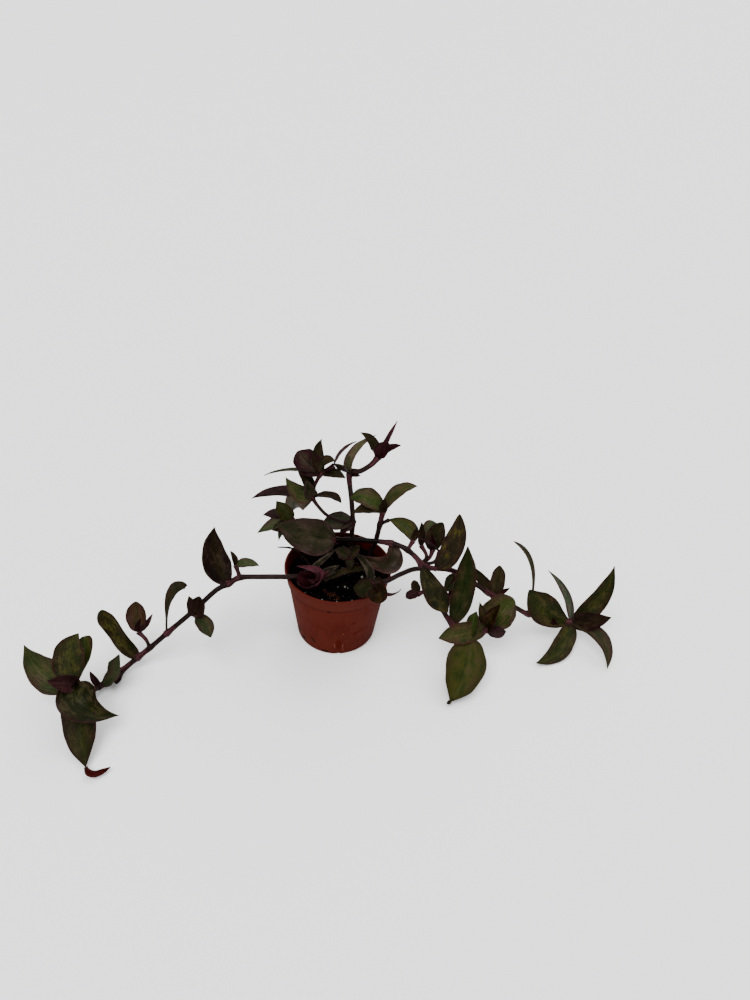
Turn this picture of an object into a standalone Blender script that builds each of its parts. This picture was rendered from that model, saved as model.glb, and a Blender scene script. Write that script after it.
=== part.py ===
# Potted gothic tradescantia: a plastic nursery pot, its soil and the leafy stems rooted in it.
# World axes: +X right, +Y back, +Z up, metres. The origin is the middle of the pot's underside.
# Lengths below are in millimetres and are scaled by MM where a shape is made.
import math

import bmesh
import bpy
from mathutils import Vector

MM = 0.001

# Pot, a common 10.5 cm nursery pot
POT_RIM_RADIUS = 52.5
POT_HEIGHT = 83.0
POT_BASE_RADIUS = 39.5
POT_WALL = 1.2
POT_FLOOR_TOP = 3.0
FLOOR_FILLET = 1.5
BAND_DEPTH = 15.0
BAND_STEP = 1.1
BAND_BEVEL = 0.4
LIP = 0.6
LIP_DEPTH = 1.6
RIM_BEVEL = 0.5
FOOT_BEVEL = 1.6
FOOT_INNER_RADIUS = 33.0
FOOT_INNER_SLOPE = 1.0
HUB_RADIUS = 12.0
HUB_SLOPE = 0.8
UNDERSIDE_RISE = 1.6
DRAIN_COUNT = 8
DRAIN_RADIUS = 3.2
DRAIN_CIRCLE = 22.5
DRAIN_SIDES = 12
NOTCH_COUNT = 4
NOTCH_RADIUS = 3.5
NOTCH_RISE = 1.2
NOTCH_SIDES = 16
NOTCH_TURN = 7.8
FLUTE_RADIUS = 14.6
FLUTE_DEPTH = 0.6
FLUTE_HEIGHT = 18.0
FLUTE_SIDES = 48
CUTTER_OVERSHOOT = 1.0
POT_SIDES = 36

# Soil
SOIL_LEVEL = 70.0
SOIL_RELIEF = 1.3
SOIL_RINGS = 5
SOIL_SIDES = 28
SOIL_SHELF_DROP = 1.5
CLEARANCE = 0.35
HOLE_CLEARANCE = 0.5
HOLE_OVERSHOOT = 10.0
HOLE_SIDES = 10

# Stems and leaves
STEM_RADIUS = 2.5
SHOOT_RADIUS = 1.7
JOINT_SWELL = 1.28
SHEATH_LENGTH = 6.0
STEM_STEP = 9.0
BLADE = 0.8
LEAF_ROOT_HALF_WIDTH = 1.5
LEAF_TIP_HALF_WIDTH = 0.45
LEAF_HOLLOW = 1.3
WAVE_RATE = 9.5
WAVE_SHIFT = 1.2

# The ways a leaf's upper side can look
UP = (0.0, 0.0, 1.0)
HIGH = (0.0, -0.35, 0.93)
FRONT = (0.0, -0.8, 0.6)
LEFT = (-0.6, -0.65, 0.45)
RIGHT = (0.55, -0.65, 0.5)
BACK = (0.0, 0.8, -0.6)
TILT = (0.0, 0.6, 0.8)

# Each form of leaf: where it widens, how it tapers and the wave of its edge.
# The half width follows s ** swell * (1 - s) ** taper along the midrib, scaled to its widest.
LEAF_FORMS = {
    "blade": {"swell": 0.60, "taper": 0.95, "wave": 0.0},
    "broad": {"swell": 0.62, "taper": 0.72, "wave": 0.0},
    "round": {"swell": 0.50, "taper": 0.52, "wave": 0.0},
    "wavy": {"swell": 0.50, "taper": 0.62, "wave": 0.22},
    "strap": {"swell": 1.60, "taper": 0.75, "wave": 0.0},
    "bud": {"swell": 0.45, "taper": 0.85, "wave": 0.0},
    "beaked": {"swell": 0.72, "taper": 1.00, "wave": 0.0},
    "paddle": {"swell": 1.50, "taper": 0.38, "wave": 0.0},
    "spoon": {"swell": 1.00, "taper": 0.62, "wave": 0.12},
    "lobed": {"swell": 0.35, "taper": 0.38, "wave": 0.22},
    "lance": {"swell": 0.45, "taper": 1.25, "wave": 0.0},
}

# Faces along and across a leaf, by its width
LEAF_GRIDS = ((19, (7, 2)), (12, (5, 2)), (9, (4, 2)), (0, (4, 1)))

# Each plant: its runs of stem as named points, then its leaves.
# A run lists (name, x, y, z), and a named point is a swollen joint. The first run starts in the soil.
# A leaf is (joint, tip, width, side it looks to, bend of the midrib, fold in degrees, form).
# A withered leaf has its base in place of the joint, because it hangs from another leaf's tip.
PLANTS = {
    "left_trailing_stem": {
        "stem": [
            ("", -23, -18, 50), ("", -23, -18, 71), ("low", -23, -18, 76), ("rise", -33, -21, 83.5),
            ("", -48, -25, 86.2), ("", -70, -27, 86), ("first", -91, -28, 84),
            ("lower", -101, -34.5, 81), ("", -112, -42, 78), ("second", -130, -52, 62),
            ("third", -157, -60, 36), ("fourth", -174, -66, 20), ("wave", -185, -72, 12),
            ("fifth", -199, -84, 4.2), ("", -206, -94, 4), ("sixth", -211, -105, 7.5),
            ("", -215, -117, 15), ("end", -219.5, -127, 38),
        ],
        "shoots": [
            [("first", -91, -28, 84), ("spur", -96, -22, 94)],
            [("second", -130, -52, 62), ("knot", -128, -58, 58)],
            [("fourth", -174, -66, 20), ("", -177, -64, 29), ("twin", -184, -62, 37)],
        ],
        "leaves": [
            ("low", (-38, -21, 97), 7, HIGH, (20, -4, 1), 20, "broad"),
            ("low", (-37, -24, 90), 16, FRONT, (0, -4, 4), 20, "broad"),
            ("rise", (-2, -9, 111), 7, HIGH, (2, 0, 2), 14, "blade"),
            ("low", (2, -9, 91), 7, HIGH, (0, 0, 3), 20, "blade"),
            ("lower", (-116, -10, 129), 27, FRONT, (-11, 0, -3), 22, "blade"),
            ("spur", (-101, -18, 108), 6, RIGHT, (2, 0, 0), 30, "bud"),
            ("spur", (-73, -24, 97), 9.5, HIGH, (0, 0, 6), 12, "blade"),
            ("knot", (-124.5, -52, 79.5), 17, FRONT, (0, -3, 0), 25, "round"),
            ("knot", (-136, -48, 75), 11, FRONT, (0, 2, 0), 25, "blade"),
            ("knot", (-111, -76, 51), 14.5, HIGH, (4, 0, 6), 14, "broad"),
            ("third", (-139.5, -37, 77.5), 13, LEFT, (-8, -2, 34), 20, "strap"),
            ("twin", (-189, -44, 59), 20, FRONT, (0, 2, 0), 22, "round"),
            ("twin", (-180, -50, 48), 9, FRONT, (0, -4, 0), 35, "bud"),
            ("twin", (-173, -48, 48), 7, LEFT, (2, 0, -4), 15, "blade"),
            ("wave", (-220, -53, 53.5), 16, FRONT, (-7, 0, 6), 14, "lobed"),
            ("fifth", (-196, -102, 8), 9, UP, (0, 0, 4), 20, "round"),
            ("sixth", (-193, -91, 37), 20, LEFT, (11, -2, -8), 30, "spoon"),
            ("sixth", (-219, -101, 22.5), 7, FRONT, (0, 0, 0), 30, "bud"),
            ("end", (-271, -104, 56), 31, FRONT, (-10, -3, -22), 14, "beaked"),
            ("end", (-223, -96, 67), 30, FRONT, (-12, 0, 4), 18, "blade"),
            ("end", (-219, -92, 60), 14, FRONT, (6, 0, 0), 20, "paddle"),
            ("end", (-238, -138, 51), 20, RIGHT, (0, 0, 0), 42, "bud"),
            ("end", (-216, -136, 50), 12, LEFT, (0, 0, 0), 42, "bud"),
            ("end", (-180, -142, 16), 34, HIGH, (-12, -27, 8), 16, "lance"),
            ("end", (-195.5, -187.5, 4), 31, FRONT, (-1, 0, -12), 12, "blade"),
            ("low", (-1, -14, 87), 5, HIGH, (0, 0, 2), 20, "blade"),
        ],
        "withered": ((-195.5, -187.1, 4), (-175.5, -185, 3.4), 5.5, HIGH, (-3, -14, 0), 25, "wavy"),
    },
    "arching_stem": {
        "stem": [
            ("", -18, 34, 50), ("", -18, 34, 71), ("", -18, 34, 77), ("", -13, 26, 92),
            ("crown", -4, 17, 101), ("", 20, 11, 108), ("knee", 50, 8, 109), ("fork", 66, 2, 107),
            ("hand", 80, -7, 98), ("", 93, -20, 80), ("", 104, -28, 60), ("wrist", 115, -32, 45),
            ("", 124, -35, 38), ("palm", 133, -36, 33), ("end", 151, -25, 34),
        ],
        "shoots": [
            [("fork", 66, 2, 107), ("near_bud", 71, 10, 112)],
            [("hand", 80, -7, 98), ("", 85, 2, 101), ("mid_bud", 79, 8, 109)],
            [("hand", 80, -7, 98), ("", 88, 3, 98), ("far_bud", 91, 10, 102)],
            [("hand", 80, -7, 98), ("", 93, -1, 97), ("edge", 98, 8, 102)],
            [("", 93, -20, 80), ("cup", 78, -31, 81)],
            [("hand", 80, -7, 98), ("heel", 95, -8, 94)],
        ],
        "leaves": [
            ("crown", (-62, 14, 119), 36, FRONT, (0, -4, -4), 12, "blade"),
            ("knee", (16, -5, 103), 19, FRONT, (33, -14, -24), 16, "blade"),
            ("near_bud", (46, 26, 124), 18, RIGHT, (9, 0, 7), 24, "blade"),
            ("near_bud", (74.5, 16, 125), 7, FRONT, (0, 0, 0), 35, "bud"),
            ("mid_bud", (78, 18, 130), 7.5, FRONT, (0, 0, 0), 30, "bud"),
            ("edge", (74, 6, 121), 8, TILT, (0, 0, 2), 10, "blade"),
            ("far_bud", (99, 23, 127), 18, FRONT, (-5, 0, 0), 18, "round"),
            ("far_bud", (88.5, 12, 121), 8, FRONT, (0, -2, 0), 32, "bud"),
            ("far_bud", (88, 32, 122), 17, FRONT, (-3, 3, 6), 18, "round"),
            ("heel", (112, 12, 147), 21, FRONT, (10, -6, -5), 14, "wavy"),
            ("hand", (107, -44, 72), 21, FRONT, (-3, -5, 1), 14, "spoon"),
            ("wrist", (124, 8, 112), 22, FRONT, (8, -2, -4), 14, "broad"),
            ("cup", (73.3, -22, 90.5), 8.5, FRONT, (0, 0, 0), 20, "round"),
            ("cup", (67, -35, 79), 10, HIGH, (0, 0, 2), 25, "round"),
            ("palm", (115, -94, 6), 38, FRONT, (8, -3, 9), 8, "broad"),
            ("palm", (137, -27, 60), 15, LEFT, (2, 0, 2), 22, "broad"),
            ("end", (102, -44, 37), 21, FRONT, (-2, -8, 12), 12, "broad"),
            ("end", (176, -8, 61), 33, FRONT, (-5, 0, 6), 12, "round"),
            ("end", (159, -24, 69), 17, LEFT, (-4, -4, 0), 34, "bud"),
            ("end", (168, -33, 42), 12, BACK, (0, -4, -1), 14, "broad"),
            ("end", (141, -14, 60), 10, FRONT, (0, 0, 0), 20, "blade"),
        ],
    },
    "right_trailing_stem": {
        "stem": [
            ("", 22, -23, 50), ("", 22, -23, 71), ("", 22, -23, 76), ("lean", 33, -23, 84),
            ("", 47, -23, 87.5), ("", 62, -5, 82), ("", 78, 6, 80.5), ("", 107, 8, 80.5),
            ("first", 119, 4, 79), ("", 138, -1, 70.5), ("second", 156, -4, 60), ("", 178, -3, 47),
            ("third", 195, 0, 35), ("small", 216, 11, 23), ("end", 243.5, 9, 18.5),
        ],
        "shoots": [
            [("lean", 33, -23, 84), ("", 35, -30, 89), ("spur", 36, -37, 93)],
        ],
        "leaves": [
            ("spur", (17, -43, 95), 17, FRONT, (0, 0, -3), 12, "broad"),
            ("spur", (42, -50, 84), 19, FRONT, (2, -2, 4), 20, "round"),
            ("spur", (61, -45, 99), 4, UP, (4, 0, -18), 10, "blade"),
            ("lean", (14, -6, 107), 9, HIGH, (-1, 0, -4), 20, "blade"),
            ("first", (107, -3, 60), 15, FRONT, (0, 2, 0), 18, "blade"),
            ("second", (134, 12, 83), 13, FRONT, (2, 0, -6), 18, "blade"),
            ("second", (159, 12, 87), 15, FRONT, (1, 0, 0), 20, "round"),
            ("third", (175, 44, 93), 4.5, LEFT, (22, 13, 21), 10, "strap"),
            ("small", (227, -4, 26), 7, FRONT, (0, 0, 0), 25, "bud"),
            ("end", (192.5, 8, 61), 31, FRONT, (-5, -5, -12), 12, "spoon"),
            ("end", (214, 34, 66), 9.5, LEFT, (15, 1, 7), 28, "blade"),
            ("end", (280, 34, 78), 22, FRONT, (14, 0, -13), 22, "blade"),
            ("end", (277, -5, 43), 20, FRONT, (0, 0, -2), 16, "blade"),
            ("end", (275, -38, 4), 16, HIGH, (23, 4, 15), 20, "blade"),
            ("end", (203, -38, 5), 22, FRONT, (10, -10, -8), 16, "blade"),
            ("first", (112.5, -4, 42), 10, FRONT, (0, 0, 0), 20, "blade"),
            ("second", (171, 0, 69), 5, FRONT, (0, 0, 0), 30, "blade"),
        ],
    },
    "upright_stem": {
        "stem": [
            ("", 10, 28, 50), ("", 10, 28, 71), ("", 10, 28, 77), ("low", 11, 31, 114),
            ("", 9, 31, 140), ("top", 6, 33, 170), ("", 16, 31, 175), ("", 26, 30, 184),
            ("tip", 32, 30, 193),
        ],
        "shoots": [
            [("low", 11, 31, 114), ("", 1, 28, 116), ("", -9, 26, 121), ("", -16, 25, 126.5),
             ("", -23.5, 25, 136), ("elbow", -28, 25, 145.5), ("", -26.5, 26, 158), ("head", -20, 27, 172),
             ("crest", -9, 28, 181)],
        ],
        "leaves": [
            ("low", (-19, 32, 110), 21, HIGH, (0, 0, 1), 12, "broad"),
            ("low", (-1, 20, 107), 9, FRONT, (0, 0, 0), 20, "blade"),
            ("top", (29, 44, 208), 17, LEFT, (-20, -4, 12), 36, "lance"),
            ("top", (16.5, 26, 173), 4.5, FRONT, (0, 0, 0), 25, "blade"),
            ("tip", (41, 26, 211), 14, FRONT, (-2, 0, 2), 28, "round"),
            ("tip", (52, 30, 207), 9, HIGH, (0, 0, 4), 28, "blade"),
            ("tip", (47, 38, 228), 5.5, RIGHT, (-3, 0, -2), 25, "blade"),
            ("tip", (14, 38, 213), 12, LEFT, (10, 0, 6), 28, "blade"),
            ("top", (-9, 24, 186), 9, LEFT, (3, 0, 2), 20, "blade"),
            ("elbow", (-44, 36, 172), 11, HIGH, (4, 0, 4), 16, "round"),
            ("crest", (11, 40, 202), 7, (-0.8, 0.35, 0.5), (-2, 0, 3), 10, "blade"),
            ("head", (-43, 34, 191), 23, FRONT, (-6, 0, 2), 14, "round"),
            ("head", (-21.5, 39, 202.5), 14, RIGHT, (-10, 2, 0), 22, "blade"),
            ("head", (-8, 23, 190), 12, HIGH, (-7, 0, 9), 20, "round"),
            ("head", (3, 22, 172), 11, HIGH, (0, 0, 5), 16, "blade"),
            ("head", (-73, 19, 171), 6, TILT, (4, 0, 5), 10, "blade"),
            ("elbow", (-53, 20, 170), 19, FRONT, (-3, 0, -10), 30, "blade"),
            ("elbow", (-33, 17, 170), 14, FRONT, (0, -2, 0), 32, "bud"),
            ("elbow", (0, 15, 148), 11, UP, (6, 0, 10), 16, "broad"),
            ("elbow", (-50, 43, 113), 22, BACK, (-14, 0, 6), 12, "broad"),
            ("elbow", (-86.5, 22, 141), 11, (0.0, 0.7, -0.1), (-2, 0, 15), 14, "blade"),
        ],
    },
    "small_upright_stem": {
        "stem": [
            ("", 30, 24, 50), ("", 30, 24, 71), ("", 30, 24, 77), ("", 35, 21, 100),
            ("mid", 38, 20, 122), ("tip", 40, 20, 139),
        ],
        "shoots": [
            [("mid", 38, 20, 122), ("stub", 46, 17, 130)],
        ],
        "leaves": [
            ("tip", (8, 24, 148), 21, HIGH, (0, 0, 14), 14, "broad"),
            ("tip", (71, 34, 160), 13, HIGH, (-5, 0, 15), 18, "broad"),
            ("tip", (11, 8, 142), 13, HIGH, (0, 0, 8), 16, "blade"),
            ("tip", (41, 17, 156), 9, FRONT, (0, 0, 0), 32, "bud"),
        ],
    },
    "back_left_stem": {
        "stem": [
            ("", -33, 20, 50), ("", -33, 20, 71), ("", -33, 20, 77), ("", -40, 27, 95),
            ("tip", -49, 29, 113),
        ],
        "shoots": [],
        "leaves": [
            ("tip", (-64, 30, 134), 17, FRONT, (0, 0, 0), 32, "broad"),
            ("tip", (-78, 32, 114), 12, BACK, (0, 0, 8), 16, "blade"),
            ("tip", (-82, 20, 100.5), 13, HIGH, (0, 0, 6), 14, "blade"),
            ("tip", (-67, 18, 107), 10, FRONT, (0, 0, -2), 14, "broad"),
            ("tip", (-60, 14, 98), 8, LEFT, (-4, 0, 2), 14, "blade"),
        ],
    },
    "young_stem": {
        "stem": [
            ("", 12, 4, 50), ("", 12, 4, 71), ("", 12, 4, 75), ("", 11, 4, 83), ("tip", 10, 4, 92),
        ],
        "shoots": [],
        "leaves": [
            ("tip", (-4, 2, 101), 13, FRONT, (0, 0, 3), 26, "blade"),
            ("tip", (13, -6, 84.5), 8, FRONT, (0, 0, 0), 22, "blade"),
            ("tip", (20, 6, 105), 11, FRONT, (0, 0, 0), 26, "blade"),
        ],
    },
}

# Dead twig over the rim at the back left
TWIG_RADIUS = 1.0
TWIG_ROUTE = [
    ("", -30, 8, 50), ("", -30, 8, 71), ("", -30, 8, 76), ("", -42, 14, 85), ("", -50, 18, 86),
    ("", -63, 20, 84),
]

COLOURS = {
    "pot": ((0.085, 0.014, 0.008), 0.45),
    "soil": ((0.006, 0.005, 0.004), 0.95),
    "plant": ((0.030, 0.026, 0.012), 0.50),
    "twig": ((0.020, 0.010, 0.006), 0.80),
}


def clear_scene():
    for item in list(bpy.data.objects):
        bpy.data.objects.remove(item, do_unlink=True)


def new_collection(name):
    collection = bpy.data.collections.new(name)
    bpy.context.scene.collection.children.link(collection)
    return collection


def make_material(name):
    colour, roughness = COLOURS[name]
    material = bpy.data.materials.new(name)
    material.use_nodes = True
    shader = material.node_tree.nodes["Principled BSDF"]
    shader.inputs["Base Color"].default_value = (*colour, 1.0)
    shader.inputs["Roughness"].default_value = roughness
    shader.inputs["Metallic"].default_value = 0.0
    return material


def new_object(name, data, collection, material=None):
    item = bpy.data.objects.new(name, data)
    collection.objects.link(item)
    if material is not None:
        item.data.materials.append(material)
    return item


def evaluated_mesh(item):
    bpy.context.view_layer.update()
    graph = bpy.context.evaluated_depsgraph_get()
    return bpy.data.meshes.new_from_object(item.evaluated_get(graph))


def bake(item):
    """Replace an object's mesh and modifiers by what it evaluates to."""
    mesh = evaluated_mesh(item)
    item.modifiers.clear()
    item.data = mesh
    return item


def smooth_shading(mesh, angle=35.0):
    mesh.shade_smooth()
    mesh.set_sharp_from_angle(angle=math.radians(angle))


# Turned pieces

def turned_object(name, profile, sides, collection, material):
    """Turn a profile of (radius, height) points in millimetres about Z."""
    mesh = bpy.data.meshes.new(name)
    points = [(radius * MM, 0.0, height * MM) for radius, height in profile]
    mesh.from_pydata(points, [(i, i + 1) for i in range(len(points) - 1)], [])
    item = new_object(name, mesh, collection, material)
    screw = item.modifiers.new("turn", "SCREW")
    screw.axis = "Z"
    screw.steps = sides
    screw.render_steps = sides
    screw.use_merge_vertices = True
    screw.merge_threshold = 0.0001
    return item


def wall_radius(height):
    """Outer radius of the pot's tapered body at a height."""
    top = POT_RIM_RADIUS - LIP - BAND_STEP
    return POT_BASE_RADIUS + (top - POT_BASE_RADIUS) * height / POT_HEIGHT


def pot_profile():
    """From the middle of the floor up the inside, over the rim, down the outside and in underneath."""
    band_bottom = POT_HEIGHT - BAND_DEPTH
    band_low = wall_radius(band_bottom) + BAND_STEP
    band_high = POT_RIM_RADIUS - LIP
    shoulder = band_bottom - POT_WALL
    fillet_top = POT_FLOOR_TOP + FLOOR_FILLET
    lip_bottom = POT_HEIGHT - LIP_DEPTH
    foot_top = 2.0 * FOOT_BEVEL
    return [
        (0.0, POT_FLOOR_TOP),
        (wall_radius(POT_FLOOR_TOP) - POT_WALL - FLOOR_FILLET, POT_FLOOR_TOP),
        (wall_radius(fillet_top) - POT_WALL, fillet_top),
        (wall_radius(shoulder) - POT_WALL, shoulder),
        (band_low - POT_WALL, band_bottom),
        (band_high - POT_WALL, POT_HEIGHT - RIM_BEVEL),
        (band_high - POT_WALL + RIM_BEVEL, POT_HEIGHT),
        (POT_RIM_RADIUS - RIM_BEVEL, POT_HEIGHT),
        (POT_RIM_RADIUS, POT_HEIGHT - RIM_BEVEL),
        (POT_RIM_RADIUS, lip_bottom),
        (band_high, lip_bottom - LIP),
        (band_low, band_bottom + BAND_BEVEL),
        (band_low - BAND_BEVEL, band_bottom),
        (wall_radius(band_bottom), band_bottom - 0.5 * BAND_BEVEL),
        (wall_radius(foot_top), foot_top),
        (wall_radius(FOOT_BEVEL) - 0.3 * FOOT_BEVEL, 0.7 * FOOT_BEVEL),
        (POT_BASE_RADIUS - FOOT_BEVEL, 0.0),
        (FOOT_INNER_RADIUS, 0.0),
        (FOOT_INNER_RADIUS - FOOT_INNER_SLOPE, UNDERSIDE_RISE),
        (HUB_RADIUS + HUB_SLOPE, UNDERSIDE_RISE),
        (HUB_RADIUS, 0.0),
        (0.0, 0.0),
    ]


def round_cutter(name, radii, centre, depth, sides, cutters, rotation=(0.0, 0.0, 0.0)):
    """A cylinder or cut-off cone in millimetres: radii are those of its lower and upper end."""
    mesh = bpy.data.meshes.new(name)
    cage = bmesh.new()
    bmesh.ops.create_cone(cage, cap_ends=True, segments=sides, radius1=radii[0] * MM,
                          radius2=radii[1] * MM, depth=depth * MM)
    cage.to_mesh(mesh)
    cage.free()
    item = new_object(name, mesh, cutters)
    item.location = Vector(centre) * MM
    item.rotation_euler = rotation
    item.hide_render = True
    item.display_type = "WIRE"
    return item


def cut(item, cutter):
    boolean = item.modifiers.new("cut " + cutter.name, "BOOLEAN")
    boolean.operation = "DIFFERENCE"
    boolean.solver = "EXACT"
    boolean.object = cutter


def around(radius, angle, height):
    """The point at a radius and an angle about Z."""
    return (radius * math.cos(angle), radius * math.sin(angle), height)


def make_pot(parts, cutters):
    pot = turned_object("pot", pot_profile(), POT_SIDES, parts, make_material("pot"))
    for index in range(DRAIN_COUNT):
        centre = around(DRAIN_CIRCLE, 2.0 * math.pi * (index + 0.5) / DRAIN_COUNT, 0.5 * POT_FLOOR_TOP)
        radii = (DRAIN_RADIUS, DRAIN_RADIUS)
        depth = POT_FLOOR_TOP + 2.0 * CUTTER_OVERSHOOT
        cut(pot, round_cutter(f"drain_{index}", radii, centre, depth, DRAIN_SIDES, cutters))
    foot_middle = 0.5 * (POT_BASE_RADIUS + FOOT_INNER_RADIUS)
    foot_width = POT_BASE_RADIUS - FOOT_INNER_RADIUS + 4.0 * CUTTER_OVERSHOOT
    flute_axis = POT_BASE_RADIUS + FLUTE_RADIUS - FLUTE_DEPTH
    flute_top_radius = flute_axis - wall_radius(FLUTE_HEIGHT)
    for index in range(NOTCH_COUNT):
        angle = 2.0 * math.pi * index / NOTCH_COUNT + math.radians(NOTCH_TURN)
        turn = (0.5 * math.pi, 0.0, angle + 0.5 * math.pi)
        centre = around(foot_middle, angle, NOTCH_RISE - NOTCH_RADIUS)
        radii = (NOTCH_RADIUS, NOTCH_RADIUS)
        cut(pot, round_cutter(f"notch_{index}", radii, centre, foot_width, NOTCH_SIDES, cutters, turn))
        centre = around(flute_axis, angle, 0.5 * (FLUTE_HEIGHT - CUTTER_OVERSHOOT))
        radii = (FLUTE_RADIUS, flute_top_radius)
        depth = FLUTE_HEIGHT + CUTTER_OVERSHOOT
        cut(pot, round_cutter(f"flute_{index}", radii, centre, depth, FLUTE_SIDES, cutters))
    return pot


def soil_top(radius, angle):
    """Height of the uneven soil: a few crossing waves, fading out at the wall."""
    x = radius * math.cos(angle)
    y = radius * math.sin(angle)
    waves = math.sin(0.31 * x + 0.7) * math.cos(0.27 * y - 0.4) + 0.6 * math.sin(0.53 * y + 0.23 * x)
    return SOIL_LEVEL + SOIL_RELIEF * waves


def soil_profile():
    """The top rings, then down the soil's outer side and in across its underside."""
    gap = POT_WALL + CLEARANCE
    shelf = POT_HEIGHT - BAND_DEPTH - SOIL_SHELF_DROP
    low = POT_FLOOR_TOP + CLEARANCE
    fillet_top = low + FLOOR_FILLET + CLEARANCE
    top_radius = wall_radius(SOIL_LEVEL) + BAND_STEP - gap - CLEARANCE
    rings = [(top_radius * i / SOIL_RINGS, SOIL_LEVEL) for i in range(SOIL_RINGS + 1)]
    return rings + [
        (wall_radius(shelf) - gap, shelf),
        (wall_radius(fillet_top) - gap, fillet_top),
        (wall_radius(low) - gap - FLOOR_FILLET, low),
        (0.0, low),
    ]


def make_soil(parts, cutters):
    soil = bake(turned_object("soil", soil_profile(), SOIL_SIDES, parts, make_material("soil")))
    for vertex in soil.data.vertices:
        if vertex.co.z > (SOIL_LEVEL - 0.1) * MM:
            radius = math.hypot(vertex.co.x, vertex.co.y) / MM
            vertex.co.z = soil_top(radius, math.atan2(vertex.co.y, vertex.co.x)) * MM
    roots = [(name, plant["stem"][0], STEM_RADIUS) for name, plant in PLANTS.items()]
    roots.append(("twig", TWIG_ROUTE[0], TWIG_RADIUS))
    for name, (_, x, y, z), radius in roots:
        hole = (radius + HOLE_CLEARANCE) / math.cos(math.pi / HOLE_SIDES)
        bottom = z - CLEARANCE
        top = SOIL_LEVEL + HOLE_OVERSHOOT
        centre = (x, y, (top + bottom) * 0.5)
        cut(soil, round_cutter("hole_" + name, (hole, hole), centre, top - bottom, HOLE_SIDES, cutters))
    return soil


# Stems

def smooth_route(route, step):
    """Points along a Catmull-Rom curve through the route, about one step apart, each with its swelling."""
    points = [Vector(point[1:]) for point in route]
    padded = [points[0] * 2 - points[1]] + points + [points[-1] * 2 - points[-2]]
    out = []
    for index in range(len(points) - 1):
        before, start, end, after = padded[index:index + 4]
        count = max(1, round((end - start).length / step))
        for k in range(count):
            t = k / count
            square = (2 * before - 5 * start + 4 * end - after) * t ** 2
            cube = (3 * start - before - 3 * end + after) * t ** 3
            out.append((2 * start + (end - before) * t + square + cube) * 0.5)
    out.append(points[-1])
    return out


def swelling(point, joints):
    """One away from the joints, JOINT_SWELL at a joint, falling off over a sheath's length."""
    near = min(((point - joint).length for joint in joints), default=SHEATH_LENGTH)
    return 1.0 + (JOINT_SWELL - 1.0) * max(0.0, 1.0 - near / SHEATH_LENGTH)


def tube(name, route, radius, collection):
    """A stem as a closed mesh: a bevelled poly curve through the smoothed route."""
    joints = [Vector(point[1:]) for point in route if point[0]]
    points = smooth_route(route, STEM_STEP)
    curve = bpy.data.curves.new(name, "CURVE")
    curve.dimensions = "3D"
    curve.bevel_depth = radius * MM
    curve.bevel_resolution = 1
    curve.use_fill_caps = True
    spline = curve.splines.new("POLY")
    spline.points.add(len(points) - 1)
    for point, place in zip(spline.points, points):
        point.co = (*(place * MM), 1.0)
        point.radius = swelling(place, joints)
    drawn = new_object(name + "_curve", curve, collection)
    mesh = evaluated_mesh(drawn)
    cage = bmesh.new()
    cage.from_mesh(mesh)
    bmesh.ops.remove_doubles(cage, verts=cage.verts, dist=0.00001)
    bmesh.ops.recalc_face_normals(cage, faces=cage.faces)
    cage.to_mesh(mesh)
    cage.free()
    item = new_object(name, mesh, collection)
    item.matrix_world = drawn.matrix_world
    bpy.data.objects.remove(drawn, do_unlink=True)
    return item


# Leaves

def leaf_half_width(form, width, s):
    """Half width at s along the midrib: zero at both ends, widest at swell / (swell + taper)."""
    swell, taper = form["swell"], form["taper"]
    peak = swell / (swell + taper)
    scale = peak ** swell * (1.0 - peak) ** taper
    shape = s ** swell * (1.0 - s) ** taper / scale
    root = LEAF_ROOT_HALF_WIDTH * (1.0 - s) ** 2
    return max(0.5 * width * shape, root) + LEAF_TIP_HALF_WIDTH


def leaf(name, base, row, collection):
    """A blade on a curved midrib: a grid shaped by its outline, fold and wave, then given its thickness."""
    _, tip, width, look, bend, fold, form_name = row
    form = LEAF_FORMS[form_name]
    base, tip, bend, look = Vector(base), Vector(tip), Vector(bend), Vector(look)
    control = (base + tip) * 0.5 + bend
    rows, columns = next(grid for least_width, grid in LEAF_GRIDS if width >= least_width)
    fold = math.radians(fold)
    cage = bmesh.new()
    bmesh.ops.create_grid(cage, x_segments=rows, y_segments=columns, size=0.5)
    for vertex in cage.verts:
        s, across = vertex.co.x + 0.5, vertex.co.y * 2.0
        middle = base * (1 - s) ** 2 + control * 2 * s * (1 - s) + tip * s * s
        along = ((control - base) * (1 - s) + (tip - control) * s).normalized()
        up = (look - along * look.dot(along)).normalized()
        side = up.cross(along)
        half = leaf_half_width(form, width, s)
        lift = abs(across) ** LEAF_HOLLOW * math.sin(fold) * half
        phase = WAVE_RATE * s + (0.0 if across > 0 else WAVE_SHIFT)
        ripple = form["wave"] * half * across * abs(across) * math.sin(phase)
        vertex.co = (middle + side * across * half * math.cos(fold) + up * (lift + ripple)) * MM
    bmesh.ops.triangulate(cage, faces=cage.faces)
    mesh = bpy.data.meshes.new(name)
    cage.to_mesh(mesh)
    cage.free()
    item = new_object(name, mesh, collection)
    solid = item.modifiers.new("thickness", "SOLIDIFY")
    solid.thickness = BLADE * MM
    solid.offset = 0.0
    return item


def keep_largest_body(mesh):
    """Drop loose scraps and fill sealed hollows: only the largest connected shell stays."""
    cage = bmesh.new()
    cage.from_mesh(mesh)
    unseen = set(cage.faces)
    shells = []
    while unseen:
        edge_faces = [unseen.pop()]
        shell = []
        while edge_faces:
            face = edge_faces.pop()
            shell.append(face)
            for edge in face.edges:
                for other in edge.link_faces:
                    if other in unseen:
                        unseen.remove(other)
                        edge_faces.append(other)
        shells.append(shell)
    shells.sort(key=len)
    scraps = [face for shell in shells[:-1] for face in shell]
    bmesh.ops.delete(cage, geom=scraps, context="FACES")
    cage.to_mesh(mesh)
    cage.free()


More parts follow.
